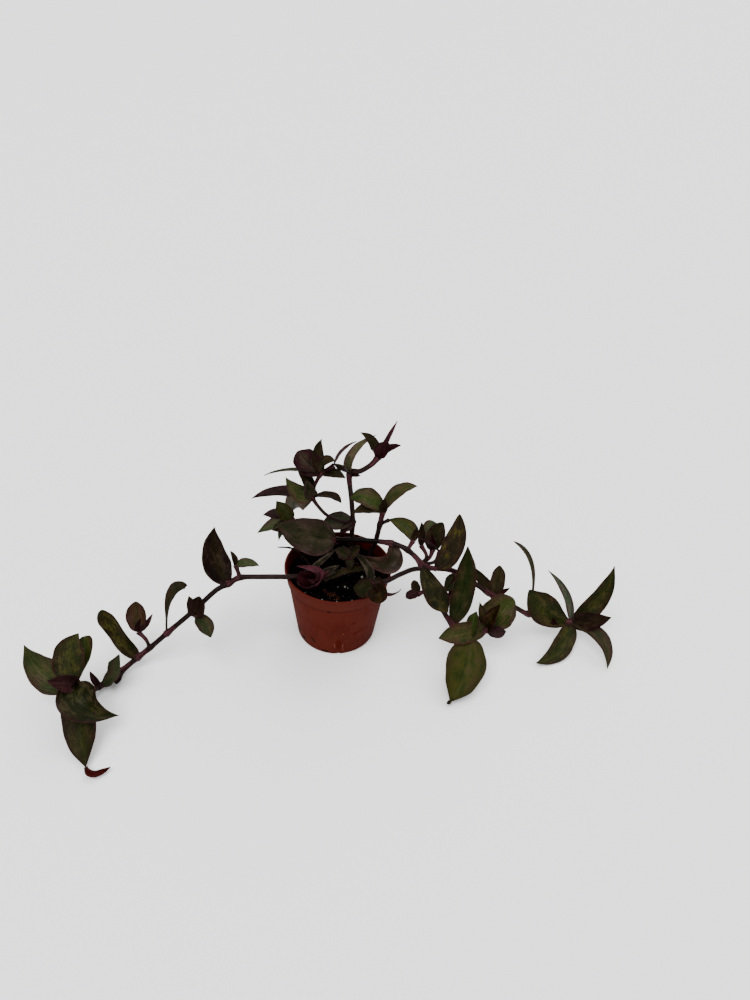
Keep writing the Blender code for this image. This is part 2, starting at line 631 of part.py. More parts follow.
def make_plant(name, plant, parts, material):
    """A leafy stem: its main run, with shoots and leaves joined to it in one union."""
    pieces = bpy.data.collections.new(name + "_pieces")
    bpy.context.scene.collection.children.link(pieces)
    joints = {point[0]: point[1:] for run in [plant["stem"], *plant["shoots"]] for point in run if point[0]}
    for index, run in enumerate(plant["shoots"]):
        tube(f"{name}_shoot_{index}", run, SHOOT_RADIUS, pieces)
    for index, row in enumerate(plant["leaves"]):
        leaf(f"{name}_leaf_{index}", joints[row[0]], row, pieces)
    if "withered" in plant:
        leaf(f"{name}_withered", plant["withered"][0], plant["withered"], pieces)
    stem = tube(name, plant["stem"], STEM_RADIUS, parts)
    stem.data.materials.append(material)
    union = stem.modifiers.new("join leaves", "BOOLEAN")
    union.operation = "UNION"
    union.operand_type = "COLLECTION"
    union.collection = pieces
    union.solver = "MANIFOLD"
    bake(stem)
    keep_largest_body(stem.data)
    for piece in list(pieces.objects):
        bpy.data.objects.remove(piece, do_unlink=True)
    bpy.data.collections.remove(pieces)
    smooth_shading(stem.data)
    return stem


def make_twig(parts):
    twig = tube("dead_twig", TWIG_ROUTE, TWIG_RADIUS, parts)
    twig.data.materials.append(make_material("twig"))
    smooth_shading(twig.data)
    return twig


def main():
    clear_scene()
    parts = new_collection("potted_gothic_tradescantia")
    cutters = new_collection("cutters")
    pot = make_pot(parts, cutters)
    soil = make_soil(parts, cutters)
    for item in (bake(pot), bake(soil)):
        smooth_shading(item.data)
    plant_material = make_material("plant")
    for name, plant in PLANTS.items():
        make_plant(name, plant, parts, plant_material)
    make_twig(parts)


main()
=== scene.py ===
import math

import bmesh
import bpy
import numpy as np
from mathutils import Matrix, Vector


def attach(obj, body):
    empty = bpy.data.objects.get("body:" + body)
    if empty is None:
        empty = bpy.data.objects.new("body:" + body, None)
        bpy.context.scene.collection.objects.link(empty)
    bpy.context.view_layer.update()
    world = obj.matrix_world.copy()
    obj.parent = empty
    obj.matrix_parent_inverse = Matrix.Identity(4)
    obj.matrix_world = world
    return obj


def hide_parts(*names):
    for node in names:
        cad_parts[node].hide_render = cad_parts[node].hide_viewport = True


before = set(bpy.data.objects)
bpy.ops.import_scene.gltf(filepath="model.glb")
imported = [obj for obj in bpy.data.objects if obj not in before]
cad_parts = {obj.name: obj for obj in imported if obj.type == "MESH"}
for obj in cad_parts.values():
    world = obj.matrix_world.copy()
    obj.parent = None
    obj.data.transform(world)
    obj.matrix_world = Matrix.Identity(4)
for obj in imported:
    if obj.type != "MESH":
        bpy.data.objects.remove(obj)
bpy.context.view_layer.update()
mm = 0.001


# Meshes from arrays

class Batch:
    # Surfaces gathered for one piece: corners, faces, and the named values of every corner
    def __init__(self):
        self.corners, self.faces, self.values, self.count = [], [], {}, 0

    def add(self, corners, faces, **values):
        # faces are groups of rows of corner numbers, and a value is one row for all corners or one for each
        corners = np.asarray(corners, float).reshape(-1, 3)
        self.corners.append(corners)
        self.faces += [(np.asarray(group) + self.count).tolist() for group in faces]
        for name, value in values.items():
            value = np.broadcast_to(value, (len(corners), np.shape(value)[-1]))
            self.values.setdefault(name, []).append(value)
        self.count += len(corners)


def unit(vectors):
    # Each vector divided by its length
    return vectors / np.maximum(np.linalg.norm(vectors, axis=-1, keepdims=True), 1e-9)


def turns(count):
    # Angles evenly once round
    return np.linspace(0, 2 * np.pi, count, endpoint=False)


def reached(points):
    # How far along a line of points each one lies
    return np.concatenate([[0], np.cumsum(np.linalg.norm(np.diff(points, axis=0), axis=1))])


def together(*values):
    # Broadcast to one shape and stacked as the last axis
    return np.stack(np.broadcast_arrays(*values), axis=-1)


def gridFaces(rows, columns):
    # Quads between neighbours of a grid of corners whose last column meets the first
    index = np.arange(rows * columns).reshape(rows, columns)
    index = np.concatenate([index, index[:, :1]], axis=1)
    quads = np.stack([index[:-1, :-1], index[:-1, 1:], index[1:, 1:], index[1:, :-1]], axis=-1)
    return quads.reshape(-1, 4)


def closedTube(grid):
    # A grid of rings made a closed body: quads along it and a fan to the middle of each end ring
    rows, columns = grid.shape[:2]
    ends = np.stack([grid[0].mean(axis=0), grid[-1].mean(axis=0)])
    corners = np.concatenate([grid.reshape(-1, 3), ends])
    ring = np.arange(columns)
    following = (ring + 1) % columns
    last = (rows - 1) * columns
    start = together(following, ring, rows * columns)
    finish = together(ring + last, following + last, rows * columns + 1)
    return corners, [gridFaces(rows, columns), start, finish]


def newObject(name, data):
    # An object in the scene, at the origin and unturned
    item = bpy.data.objects.new(name, data)
    bpy.context.scene.collection.objects.link(item)
    return item


def makePiece(name, batch, material, replaces=(), smooth=40.0, weld=False):
    # One object at the origin from a batch; its values become attributes that the material reads.
    # weld closes the seams between surfaces that share an edge.
    mesh = bpy.data.meshes.new(name)
    faces = [face for group in batch.faces for face in group]
    mesh.from_pydata(np.concatenate(batch.corners) * mm, [], faces)
    for title, parts in batch.values.items():
        data = np.concatenate(parts).astype(np.float32)
        kind, field = ("FLOAT_COLOR", "color") if data.shape[1] == 4 else ("FLOAT_VECTOR", "vector")
        mesh.attributes.new(title, kind, "POINT").data.foreach_set(field, data.ravel())
    if weld:
        shell = bmesh.new()
        shell.from_mesh(mesh)
        bmesh.ops.remove_doubles(shell, verts=shell.verts, dist=2e-6)
        bmesh.ops.recalc_face_normals(shell, faces=shell.faces)
        shell.to_mesh(mesh)
        shell.free()
    mesh.validate()
    mesh.shade_smooth()
    mesh.set_sharp_from_angle(angle=math.radians(smooth))
    mesh.materials.append(material)
    piece = newObject(name, mesh)
    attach(piece, "root")
    if replaces:
        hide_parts(*replaces)
    print(f"{name}: {sum(len(face) - 2 for face in faces)} triangles")


# Shader maths

def maths(operation, swapped=False):
    # A method that adds a Math node of the value and what it meets
    def method(self, *others):
        return self.paint.math(operation, *((*others, self) if swapped else (self, *others)))
    return method


class Value:
    # A number that varies over a surface, for use in plain arithmetic
    def __init__(self, paint, socket):
        self.paint = paint
        self.socket = socket

    __add__ = __radd__ = maths("ADD")
    __sub__ = maths("SUBTRACT")
    __rsub__ = maths("SUBTRACT", swapped=True)
    __mul__ = __rmul__ = maths("MULTIPLY")
    __pow__ = maths("POWER")
    __abs__ = maths("ABSOLUTE")
    wave = maths("SINE")

    def rise(self, low, high):
        # 0 below low, 1 above high and smooth between
        inputs = {"Value": self, "From Min": low, "From Max": high}
        made = self.paint.node("ShaderNodeMapRange", inputs, interpolation_type="SMOOTHSTEP")
        return Value(self.paint, made.outputs[0])


def paintColour(colour):
    # A screen colour, 0 to 255, turned into the linear light that shaders use. A socket stays as it is.
    if not isinstance(colour, tuple):
        return colour
    screen = np.array(colour) / 255.0
    light = np.where(screen <= 0.04045, screen / 12.92, ((screen + 0.055) / 1.055) ** 2.4)
    return (*(float(x) for x in light), 1.0)


class Paint:
    # A procedural material in the making, with one Principled shader
    def __init__(self, name, specular):
        self.material = bpy.data.materials.new(name)
        self.material.use_nodes = True
        self.tree = self.material.node_tree
        self.shader = self.tree.nodes["Principled BSDF"].inputs
        self.shader["Specular IOR Level"].default_value = specular

    def feed(self, socket, value):
        # Links what varies and sets what doesn't
        if isinstance(value, (Value, bpy.types.NodeSocket)):
            self.tree.links.new(getattr(value, "socket", value), socket)
        else:
            socket.default_value = value

    def node(self, kind, inputs, **settings):
        # Any node: what feeds its inputs, by name or number, and its settings
        made = self.tree.nodes.new(kind)
        for name, value in settings.items():
            setattr(made, name, value)
        for name, value in inputs.items():
            self.feed(made.inputs[name], value)
        return made

    def math(self, operation, *numbers):
        # What a Math node makes of the numbers
        return Value(self, self.node("ShaderNodeMath", dict(enumerate(numbers)), operation=operation).outputs[0])

    def mix(self, share, first, second):
        # The first colour where share is 0, the second where it is 1
        inputs = {0: share, 6: paintColour(first), 7: paintColour(second)}
        return self.node("ShaderNodeMix", inputs, data_type="RGBA").outputs[2]

    def scale(self, colour, amounts):
        # A colour times three amounts
        colour = paintColour(colour)[:3] if isinstance(colour, tuple) else colour
        return self.node("ShaderNodeVectorMath", {0: colour, 1: amounts}, operation="MULTIPLY").outputs[0]

    def tint(self, colour, brightness):
        # A colour times a number that varies
        return self.scale(colour, self.place(brightness, brightness, brightness))

    def attribute(self, name, output):
        # A named value of the mesh, as the output that is asked for
        return self.node("ShaderNodeAttribute", {}, attribute_name=name).outputs[output]

    def parts(self, vector):
        # The three numbers of a vector, or of a named attribute
        vector = self.attribute(vector, "Vector") if isinstance(vector, str) else vector
        outputs = self.node("ShaderNodeSeparateXYZ", {0: vector}).outputs
        return [Value(self, output) for output in outputs]

    def place(self, x, y, z):
        # A vector of three numbers
        return self.node("ShaderNodeCombineXYZ", {0: x, 1: y, 2: z}).outputs[0]

    def objectPlace(self):
        # Where a point of the surface lies, in metres
        return self.node("ShaderNodeTexCoord", {}).outputs["Object"]

    def noise(self, vector, scale, detail=3.0, roughness=0.5):
        # Clouds from about 0 to 1, scale of them to a metre
        inputs = {"Vector": vector, "Scale": scale, "Detail": detail, "Roughness": roughness}
        return Value(self, self.node("ShaderNodeTexNoise", inputs).outputs[0])

    def streaks(self, x, y, z, detail=3.0, roughness=0.5):
        # Noise at a place of three numbers, drawn out where a number grows slowly
        return self.noise(self.place(x, y, z), 1.0, detail, roughness)

    def pits(self, vector, scale):
        # Distance to the nearest of scattered points
        return Value(self, self.node("ShaderNodeTexVoronoi", {"Vector": vector, "Scale": scale}).outputs["Distance"])

    def finish(self, colour, roughness, height=None, depth=0.0002, strength=0.5):
        # Feeds the shader; depth is how deep in metres a height of 1 looks
        self.feed(self.shader["Base Color"], colour)
        self.feed(self.shader["Roughness"], roughness)
        if height is not None:
            bump = self.node("ShaderNodeBump", {"Height": height, "Distance": depth, "Strength": strength})
            self.feed(self.shader["Normal"], bump.outputs[0])
        return self.material


# The camera comes first: it looks at the pot from the photograph's place

camera = {
    "place": (31.6, -553.9, 571.6),
    "pitchDown": 36.26,      # degrees
    "roll": 3.92,
    "lens": 27.04,
    "sensor": 36.0,
    "clip": (0.05, 50.0),    # metres
}


def makeCamera(look):
    # Turned up from looking straight down, then rolled about its own axis
    data = bpy.data.cameras.new("camera")
    data.sensor_width = look["sensor"]
    data.lens = look["lens"]
    data.clip_start, data.clip_end = look["clip"]
    item = newObject("camera", data)
    turn = Matrix.Rotation(math.radians(90.0 - look["pitchDown"]), 4, "X")
    turn = turn @ Matrix.Rotation(math.radians(look["roll"]), 4, "Z")
    item.matrix_world = Matrix.Translation([x * mm for x in look["place"]]) @ turn
    bpy.context.scene.camera = item


makeCamera(camera)


# How the leaves look: screen colours in the middle, at margin and tip, of patches and underneath, then how much
# of the patch colour shows, how far it follows the midrib, how plain the long veins are, and 0, dull, to 1, glossy,
# which also sets how much painted sheen a leaf gets
leafLooks = {
    "greyGreen": ((72, 72, 50), (58, 46, 34), (80, 84, 48), (56, 38, 36), 0.15, 0.0, 0.6, 0.4),
    "paleGrey": ((96, 93, 82), (68, 54, 44), (104, 103, 84), (60, 44, 42), 0.15, 0.0, 0.5, 0.5),
    "freshGreen": ((60, 66, 32), (58, 42, 30), (74, 80, 32), (54, 38, 34), 0.25, 0.2, 0.6, 0.5),
    "deepGreen": ((40, 42, 16), (48, 30, 20), (56, 58, 18), (48, 28, 28), 0.3, 0.0, 0.4, 0.4),
    "mossGreen": ((66, 66, 28), (50, 32, 20), (62, 66, 22), (50, 30, 30), 0.3, 0.3, 0.5, 0.4),
    "slateGreen": ((56, 55, 37), (48, 34, 26), (70, 70, 30), (50, 34, 36), 0.3, 0.0, 0.6, 0.4),
    "greyOlive": ((65, 63, 38), (60, 40, 30), (72, 78, 30), (54, 34, 36), 0.25, 0.2, 0.6, 0.9),
    "greyMottled": ((54, 51, 30), (56, 38, 30), (68, 74, 24), (54, 34, 36), 0.45, 0.2, 0.7, 0.4),
    "greyBrown": ((68, 58, 42), (54, 38, 30), (70, 66, 38), (52, 34, 34), 0.2, 0.0, 0.5, 0.4),
    "broadOlive": ((62, 61, 22), (52, 46, 18), (64, 42, 20), (50, 34, 30), 0.15, 0.0, 0.1, 0.4),
    "duskOlive": ((56, 48, 35), (60, 44, 40), (58, 54, 28), (54, 32, 32), 0.25, 0.2, 0.5, 0.8),
    "umberOlive": ((50, 40, 25), (48, 30, 23), (62, 56, 22), (50, 30, 30), 0.3, 0.1, 0.5, 0.4),
    "oliveMottled": ((34, 30, 12), (50, 33, 23), (58, 56, 20), (50, 30, 32), 0.55, 0.2, 0.6, 0.4),
    "yellowPatched": ((48, 46, 22), (52, 32, 24), (72, 74, 24), (52, 32, 34), 0.35, 0.3, 0.6, 0.4),
    "brownMottled": ((52, 37, 27), (44, 26, 24), (76, 70, 20), (50, 28, 30), 0.6, 0.0, 0.6, 0.3),
    "brownStriped": ((47, 38, 23), (46, 28, 22), (52, 56, 18), (50, 30, 32), 0.5, 1.0, 0.5, 0.3),
    "greenBrown": ((74, 70, 42), (66, 44, 34), (76, 70, 32), (52, 32, 34), 0.35, 0.3, 0.6, 0.5),
    "veinedGreen": ((66, 66, 30), (62, 46, 34), (74, 78, 38), (54, 34, 36), 0.25, 0.2, 0.9, 0.5),
    "stripedGreen": ((66, 64, 28), (52, 50, 28), (76, 78, 48), (52, 38, 40), 0.1, 0.6, 1.0, 0.5),
    "specked": ((65, 61, 47), (58, 46, 42), (52, 52, 34), (50, 32, 34), 0.25, 0.0, 0.5, 0.8),
    "maroon": ((36, 14, 8), (34, 16, 12), (50, 30, 14), (44, 22, 20), 0.2, 0.3, 0.8, 0.4),
    "umber": ((42, 26, 17), (40, 24, 19), (58, 50, 22), (48, 28, 28), 0.3, 0.1, 0.5, 0.3),
    "coppery": ((64, 44, 30), (54, 32, 24), (84, 64, 46), (50, 30, 30), 0.1, 0.1, 0.9, 0.4),
    "amber": ((36, 20, 4), (50, 22, 14), (70, 56, 10), (50, 28, 26), 0.35, 0.2, 0.5, 0.4),
    "darkGreen": ((36, 33, 14), (40, 28, 18), (50, 50, 20), (48, 30, 28), 0.3, 0.2, 0.5, 0.4),
    "blackOlive": ((27, 13, 11), (40, 24, 18), (54, 50, 16), (44, 26, 26), 0.2, 0.3, 0.5, 0.3),
    "brownPurple": ((40, 22, 15), (42, 22, 18), (52, 44, 20), (52, 30, 34), 0.25, 0.2, 0.7, 0.4),
    "plum": ((54, 11, 22), (42, 11, 18), (58, 26, 30), (58, 26, 34), 0.1, 0.1, 0.6, 0.4),
    "plumStriped": ((52, 22, 28), (40, 21, 22), (70, 66, 50), (54, 32, 36), 0.2, 0.6, 1.0, 0.5),
    "mauve": ((74, 38, 43), (48, 26, 28), (78, 56, 56), (60, 36, 40), 0.15, 0.2, 0.6, 0.5),
    "dusty": ((74, 62, 50), (54, 42, 34), (80, 70, 54), (116, 98, 84), 0.15, 0.2, 0.6, 0.4),
    "aubergine": ((44, 16, 20), (33, 12, 14), (54, 30, 30), (46, 22, 26), 0.15, 0.1, 0.6, 0.4),
    "oliveBrown": ((48, 39, 20), (50, 34, 24), (68, 67, 22), (52, 32, 32), 0.6, 0.2, 0.6, 0.4),
    "deepMottled": ((33, 32, 13), (46, 28, 22), (60, 62, 20), (50, 30, 30), 0.4, 0.1, 0.5, 1.0),
    "lightOlive": ((80, 76, 48), (72, 54, 42), (92, 94, 48), (60, 40, 38), 0.2, 0.3, 0.6, 0.5),
    "ashen": ((116, 98, 78), (84, 64, 54), (110, 104, 70), (64, 44, 42), 0.2, 0.2, 0.8, 0.6),
    "satinBrown": ((50, 36, 27), (74, 50, 44), (58, 54, 34), (60, 38, 38), 0.2, 0.3, 0.5, 1.0),
    "rosy": ((82, 38, 50), (84, 42, 52), (98, 50, 62), (90, 46, 58), 0.1, 0.1, 0.8, 0.5),
    "paleEdged": ((34, 30, 18), (80, 72, 60), (46, 44, 22), (58, 50, 46), 0.3, 0.3, 0.5, 0.5),
    "withered": ((78, 14, 12), (34, 7, 6), (80, 22, 14), (56, 12, 12), 0.6, 0.0, 1.0, 0.1),
    "dryTip": ((64, 46, 36), (60, 42, 34), (66, 50, 38), (60, 42, 34), 0.3, 0.0, 1.0, 0.1),
}

leafFinish = {
    "brightness": 0.50,    # of all the colours above
    "specular": 0.035,
    "margin": (2.1, 1.25, 1.45),      # what the rim colour is multiplied by along the very edge
    "rootPurple": (46, 22, 24),
    # paintedSheen: a painted highlight, the pale grey that glossy leaves are given where they would catch light
    "paintedSheen": (74, 70, 62),
    "greener": (0.78, 1.12, 0.80),    # what the streaks multiply the colour by
    "redder": (1.22, 0.88, 1.05),
    "fleck": (0.62, 0.50, 0.50),      # what the rim colour is multiplied by in the dark flecks
    "speck": (150, 146, 128),
    "veinCount": 34.0,
    "duller": 0.62,        # roughness of a leaf with no shine
    "glossier": 0.34,      # roughness of a leaf with full shine
}


def leafSkin(name, look):
    # Along, across and number say where on which leaf. The rim colour creeps in from margin and tip in long
    # streaks, patches are dashes of noise drawn out along the leaf, and veins are a sine of the across value.
    paint = Paint(name, look["specular"])
    along, across, number = paint.parts("leafPlace")
    length, halfWidth, underside = paint.parts("leafSize")
    mottle, stripe, shine = paint.parts("leafHabit")
    veinStrength = Value(paint, paint.attribute("leafTone", "Alpha"))
    tone, rimTone, patchTone = (paint.attribute(title, "Color") for title in ("leafTone", "leafRim", "leafPatch"))
    side, run, sideways = abs(across), along * length, across * halfWidth
    cloud = paint.streaks(run * 0.8, sideways * 1.4, number, 2.0)
    streak = paint.streaks(run * 0.9, across * 5.5, number + 31.0, 5.0, 0.7)
    dash = paint.streaks(run * 3.4, sideways * 9.0, number + 57.0, 4.0, 0.7)
    grain = paint.streaks(run * 9.0, sideways * 20.0, number + 11.0, 3.0, 0.6)
    rimShare = side * 0.75 + along * 0.25 + (cloud - 0.5) * 2.2 + (streak - 0.5) * 0.9 + (dash - 0.5) * 0.8
    contrast = veinStrength * 0.7 + 0.4
    hue = cloud * 0.45 + streak * 0.3 + dash * 0.25 + (side - 0.5) * 0.14
    hue = ((hue - 0.51) * contrast + 0.51).rise(0.43, 0.59)
    middle = paint.mix(hue, paint.scale(tone, look["greener"]), paint.scale(tone, look["redder"]))
    colour = paint.mix(rimShare.rise(0.50, 1.05), middle, rimTone)
    # Painted highlight: a pale grey sheen mixed into the colour in cloudy patches, more on glossier leaves and
    # nearer the base
    paintedSheen = (cloud * 0.5 + streak * 0.5 + (0.5 - along) * 0.1).rise(0.50, 0.66) * shine
    colour = paint.mix(paintedSheen * 0.5, colour, look["paintedSheen"])
    dashes = (dash + (cloud - 0.5) * 0.5 + (streak - 0.5) * 0.4 + mottle * 0.14).rise(0.54, 0.66)
    region = (cloud + (streak - 0.5) * 0.3).rise(0.48, 0.60)
    patchShare = dashes * (0.12 + region * 0.88) * (1.0 - side.rise(0.75, 0.95))
    midShare = (1.0 - (side + (streak - 0.5) * 0.9).rise(0.08, 0.5)) * stripe * (1.0 - along.rise(0.7, 1.0))
    colour = paint.mix(patchShare * mottle.rise(0.0, 0.6) * 0.8, colour, patchTone)
    colour = paint.mix(midShare * 0.75, colour, patchTone)
    fleck = paint.streaks(run * 4.5, sideways * 11.0, number + 47.0, 3.0, 0.65)
    flecks = (fleck + (streak - 0.5) * 0.5 + (cloud - 0.5) * 0.4).rise(0.53, 0.64) * mottle.rise(0.05, 0.5)
    colour = paint.mix(flecks * 0.5, colour, paint.scale(rimTone, look["fleck"]))
    rootShare = 1.0 - (along + (streak - 0.5) * 0.25).rise(0.0, 0.16)
    colour = paint.mix(rootShare * 0.6, colour, look["rootPurple"])
    vein = (across * look["veinCount"] + (cloud - 0.5) * 1.5).wave()
    shade = (streak - 0.5) * 1.5 + (dash - 0.5) * 1.9 + (grain - 0.5) * 2.0 + vein * veinStrength * 0.13
    shade = shade * contrast + 0.97 + (cloud - 0.5) * 1.5
    shade = shade - (1.0 - side.rise(0.0, 0.06)) * 0.25 - side.rise(0.55, 1.0) * 0.18
    colour = paint.tint(colour, shade.rise(-0.45, 2.45) * 2.0 * look["brightness"])
    margin = side.rise(0.92, 0.99) * (1.0 - underside * 0.5)
    edge = paint.tint(paint.scale(rimTone, look["margin"]), (0.8 + (dash - 0.5)) * look["brightness"])
    colour = paint.mix(margin * 0.85, colour, edge)
    dust = paint.streaks(run * 13.0, sideways * 13.0, number + 83.0, 1.0)
    colour = paint.mix(dust.rise(0.775, 0.80) * 0.7, colour, paint.tint(look["speck"], look["brightness"]))
    roughness = look["duller"] - shine * (look["duller"] - look["glossier"]) + (streak - 0.5) * 0.3
    height = vein * 0.5 + streak * 2.0 + grain * 0.7 + dash * 0.8 + side.rise(0.0, 0.10) * 1.5
    return paint.finish(colour, roughness, height, depth=0.00014, strength=0.6)


stemFinish = {
    "brightness": 0.36,
    "specular": 0.04,
    "roughness": 0.36,
    "skin": (52, 30, 29),
    "streak": (70, 56, 50),
    # dark: the colour of painted shade on the stems
    "dark": (15, 5, 4),
    "sheath": (108, 62, 68),
    "sheathDark": (60, 27, 31),
}

hairFinish = {
    "colour": (104, 88, 86),
    "specular": 0.1,
    "roughness": 0.5,
}


def stemSkin(name, look):
    # Long streaks round the stem, with painted shade that darkens it towards a joint and in shaded places; the third
    # value is 1 on a sheath
    paint = Paint(name, look["specular"])
    run, around, sheath = paint.parts("stemPlace")
    shadow, number, _ = paint.parts("stemHabit")
    streak = paint.streaks(run * 0.08, around * 2.2, number, 4.0, 0.6)
    cloud = paint.streaks(run * 0.25, around * 0.6, number + 7.0)
    grain = paint.noise(paint.objectPlace(), 2400.0, 2.0)
    skin = paint.mix(streak.rise(0.42, 0.66), look["skin"], look["streak"])
    # Painted shade: the shadow value of each point darkens the stem towards this dark colour
    skin = paint.mix(shadow * (0.7 + cloud * 0.5), skin, look["dark"])
    vein = (around * 9.0 + (cloud - 0.5) * 2.0).wave()
    sleeve = paint.mix((streak + vein * 0.08).rise(0.35, 0.65), look["sheathDark"], look["sheath"])
    colour = paint.mix(sheath, skin, sleeve)
    colour = paint.tint(colour, (0.86 + cloud * 0.28 + (grain - 0.5) * 0.2) * look["brightness"])
    height = streak * 1.2 + vein * sheath * 0.5 + grain * 0.4
    return paint.finish(colour, look["roughness"] + sheath * 0.1 + streak * 0.16, height)


def hairSkin(name, look):
    # One colour that is lighter and darker from place to place
    paint = Paint(name, look["specular"])
    variety = paint.noise(paint.objectPlace(), 300.0, 2.0)
    return paint.finish(paint.tint(look["colour"], 0.75 + variety * 0.5), look["roughness"] + variety * 0.1)


leafMaterial = leafSkin("leafSkin", leafFinish)
stemMaterial = stemSkin("stemSkin", stemFinish)
hairMaterial = hairSkin("leafHair", hairFinish)
print("camera and plant materials made")


# Leaves

# Directions that an upper side looks in
up = (0, 0, 1)
high = (0, -0.35, 0.93)
front = (0, -0.8, 0.6)
left = (-0.6, -0.65, 0.45)
right = (0.55, -0.65, 0.5)
back = (0, 0.8, -0.6)
tilt = (0, 0.6, 0.8)

# The half width is s^swell (1-s)^taper; then the wave of the blade, and how far the tip is drawn in to a beak
leafForms = {
    "blade": (0.6, 0.95, 0.0, 0.35),
    "broad": (0.62, 0.72, 0.0, 0.5),
    "round": (0.5, 0.52, 0.0, 0.35),
    "wavy": (0.5, 0.62, 0.22, 0.3),
    "strap": (1.6, 0.75, 0.0, 0.3),
    "bud": (0.45, 0.85, 0.0, 0.3),
    "beaked": (0.72, 1.0, 0.0, 0.5),
    "paddle": (1.5, 0.38, 0.0, 0.1),
    "spoon": (1.0, 0.62, 0.12, 0.5),
    "lobed": (0.35, 0.38, 0.36, 0.1),
    "lance": (0.45, 1.25, 0.0, 0.0),
}

leafShape = {
    "thickAtMidrib": 0.8,
    "thickAtMargin": 0.34,
    "rootHalfWidth": 1.5,
    "tipHalfWidth": 0.45,
    "hollow": 1.3,
    "waveRate": 9.5,
    "waveShift": 1.2,
    "channel": 0.22,       # depth of the furrow over the midrib
    "ruffle": 0.035,       # of the half width, how far the margin rises and falls
    "undulation": 0.03,    # of the half width, how far the margin goes in and out
    "undulationRate": 13,
    "ruffleRates": (17, 15, 29),    # of one margin, the other and both
    "ruffleTurn": 6.28,
    "channelWidth": 0.09,
    "beakFrom": 0.78,      # of the length
    "beakLength": 0.22,
    "underBrightness": 0.9,
    "toneSpread": (0.9, 1.1),       # how much darker or lighter single leaves are
    "grids": ((22, 44, 16), (13, 34, 12), (0, 24, 10)),    # from this width: rows along, columns across
    "noiseStep": 3.71,     # how far apart in the noise two leaves lie
    "hairsPerMm": 1.5,
    "hairsAlong": (0.02, 0.95),     # of the length
    "hairLength": (0.5, 1.2),
    "hairLean": (0.2, 0.9),         # towards the tip, beside 1 outwards
    "hairSpread": 0.25,
    "hairThickness": 0.045,
    "toneSeed": 900,
    "hairSeed": 4000,
}


def leafFrame(base, row, s, shape):
    # The midrib is a quadratic curve from base to tip. At each s it gives the point, the directions ahead,
    # sideways and out of the upper side, and the half width: s^swell (1-s)^taper, scaled to the width
    # and drawn in to a beak near the tip.
    _, tip, width, look, bend, _, form, _ = row
    base, tip, look, bend = (np.array(x, float) for x in (base, tip, look, bend))
    swell, taper, _, beak = leafForms[form]
    control = (base + tip) * 0.5 + bend
    s = s[:, None]
    middle = base * (1 - s) ** 2 + control * 2 * s * (1 - s) + tip * s * s
    ahead = unit((control - base) * (1 - s) + (tip - control) * s)
    upper = unit(look - ahead * (ahead @ look)[:, None])
    side = np.cross(upper, ahead)
    peak = swell / (swell + taper)
    scale = peak ** swell * (1 - peak) ** taper
    outline = 0.5 * width * s ** swell * (1 - s) ** taper / scale
    outline = outline * (1 - beak * np.clip((s - shape["beakFrom"]) / shape["beakLength"], 0, 1) ** 1.5)
    outline = outline * (1 + shape["undulation"] * np.sin(s * shape["undulationRate"] + width + bend[0]))
    half = np.maximum(outline, shape["rootHalfWidth"] * (1 - s) ** 2)
    half = half + shape["tipHalfWidth"] * (1 - 0.6 * s ** 8)
    return middle, ahead, side, upper, half[:, 0]


def leafSurface(base, row, s, across, lift, shape, seed):
    # Across the midrib the blade rises as |across|^hollow sin(fold), with a wave for a wavy form,
    # a small seeded ruffle at the margins and a furrow over the midrib
    middle, ahead, side, upper, half = leafFrame(base, row, s, shape)
    *_, fold, form, _ = row
    fold, wave = math.radians(fold), leafForms[form][2]
    s, half = s[:, None], half[:, None]
    phase = shape["waveRate"] * s + np.where(across > 0, 0.0, shape["waveShift"])
    rise = np.abs(across) ** shape["hollow"] * math.sin(fold) * half
    rise = rise + wave * half * across * np.abs(across) * np.sin(phase)
    turn = np.random.default_rng(seed).uniform(0, shape["ruffleTurn"], 3)
    one, other, both = shape["ruffleRates"]
    ruffle = np.sin(s * one + turn[0]) * (across > 0) + np.sin(s * other + turn[1]) * (across < 0)
    ruffle = ruffle + 0.6 * np.sin(s * both + across * 2 + turn[2])
    ends = np.sqrt(np.maximum(np.sin(np.pi * s), 0))
    rise = rise + shape["ruffle"] * half * ruffle * np.abs(across) ** 2.5 * ends
    rise = rise - shape["channel"] * np.exp(-(across / shape["channelWidth"]) ** 2) * ends
    points = middle[:, None] + side[:, None] * (across * half * math.cos(fold))[..., None]
    return points + upper[:, None] * (rise + lift)[..., None]


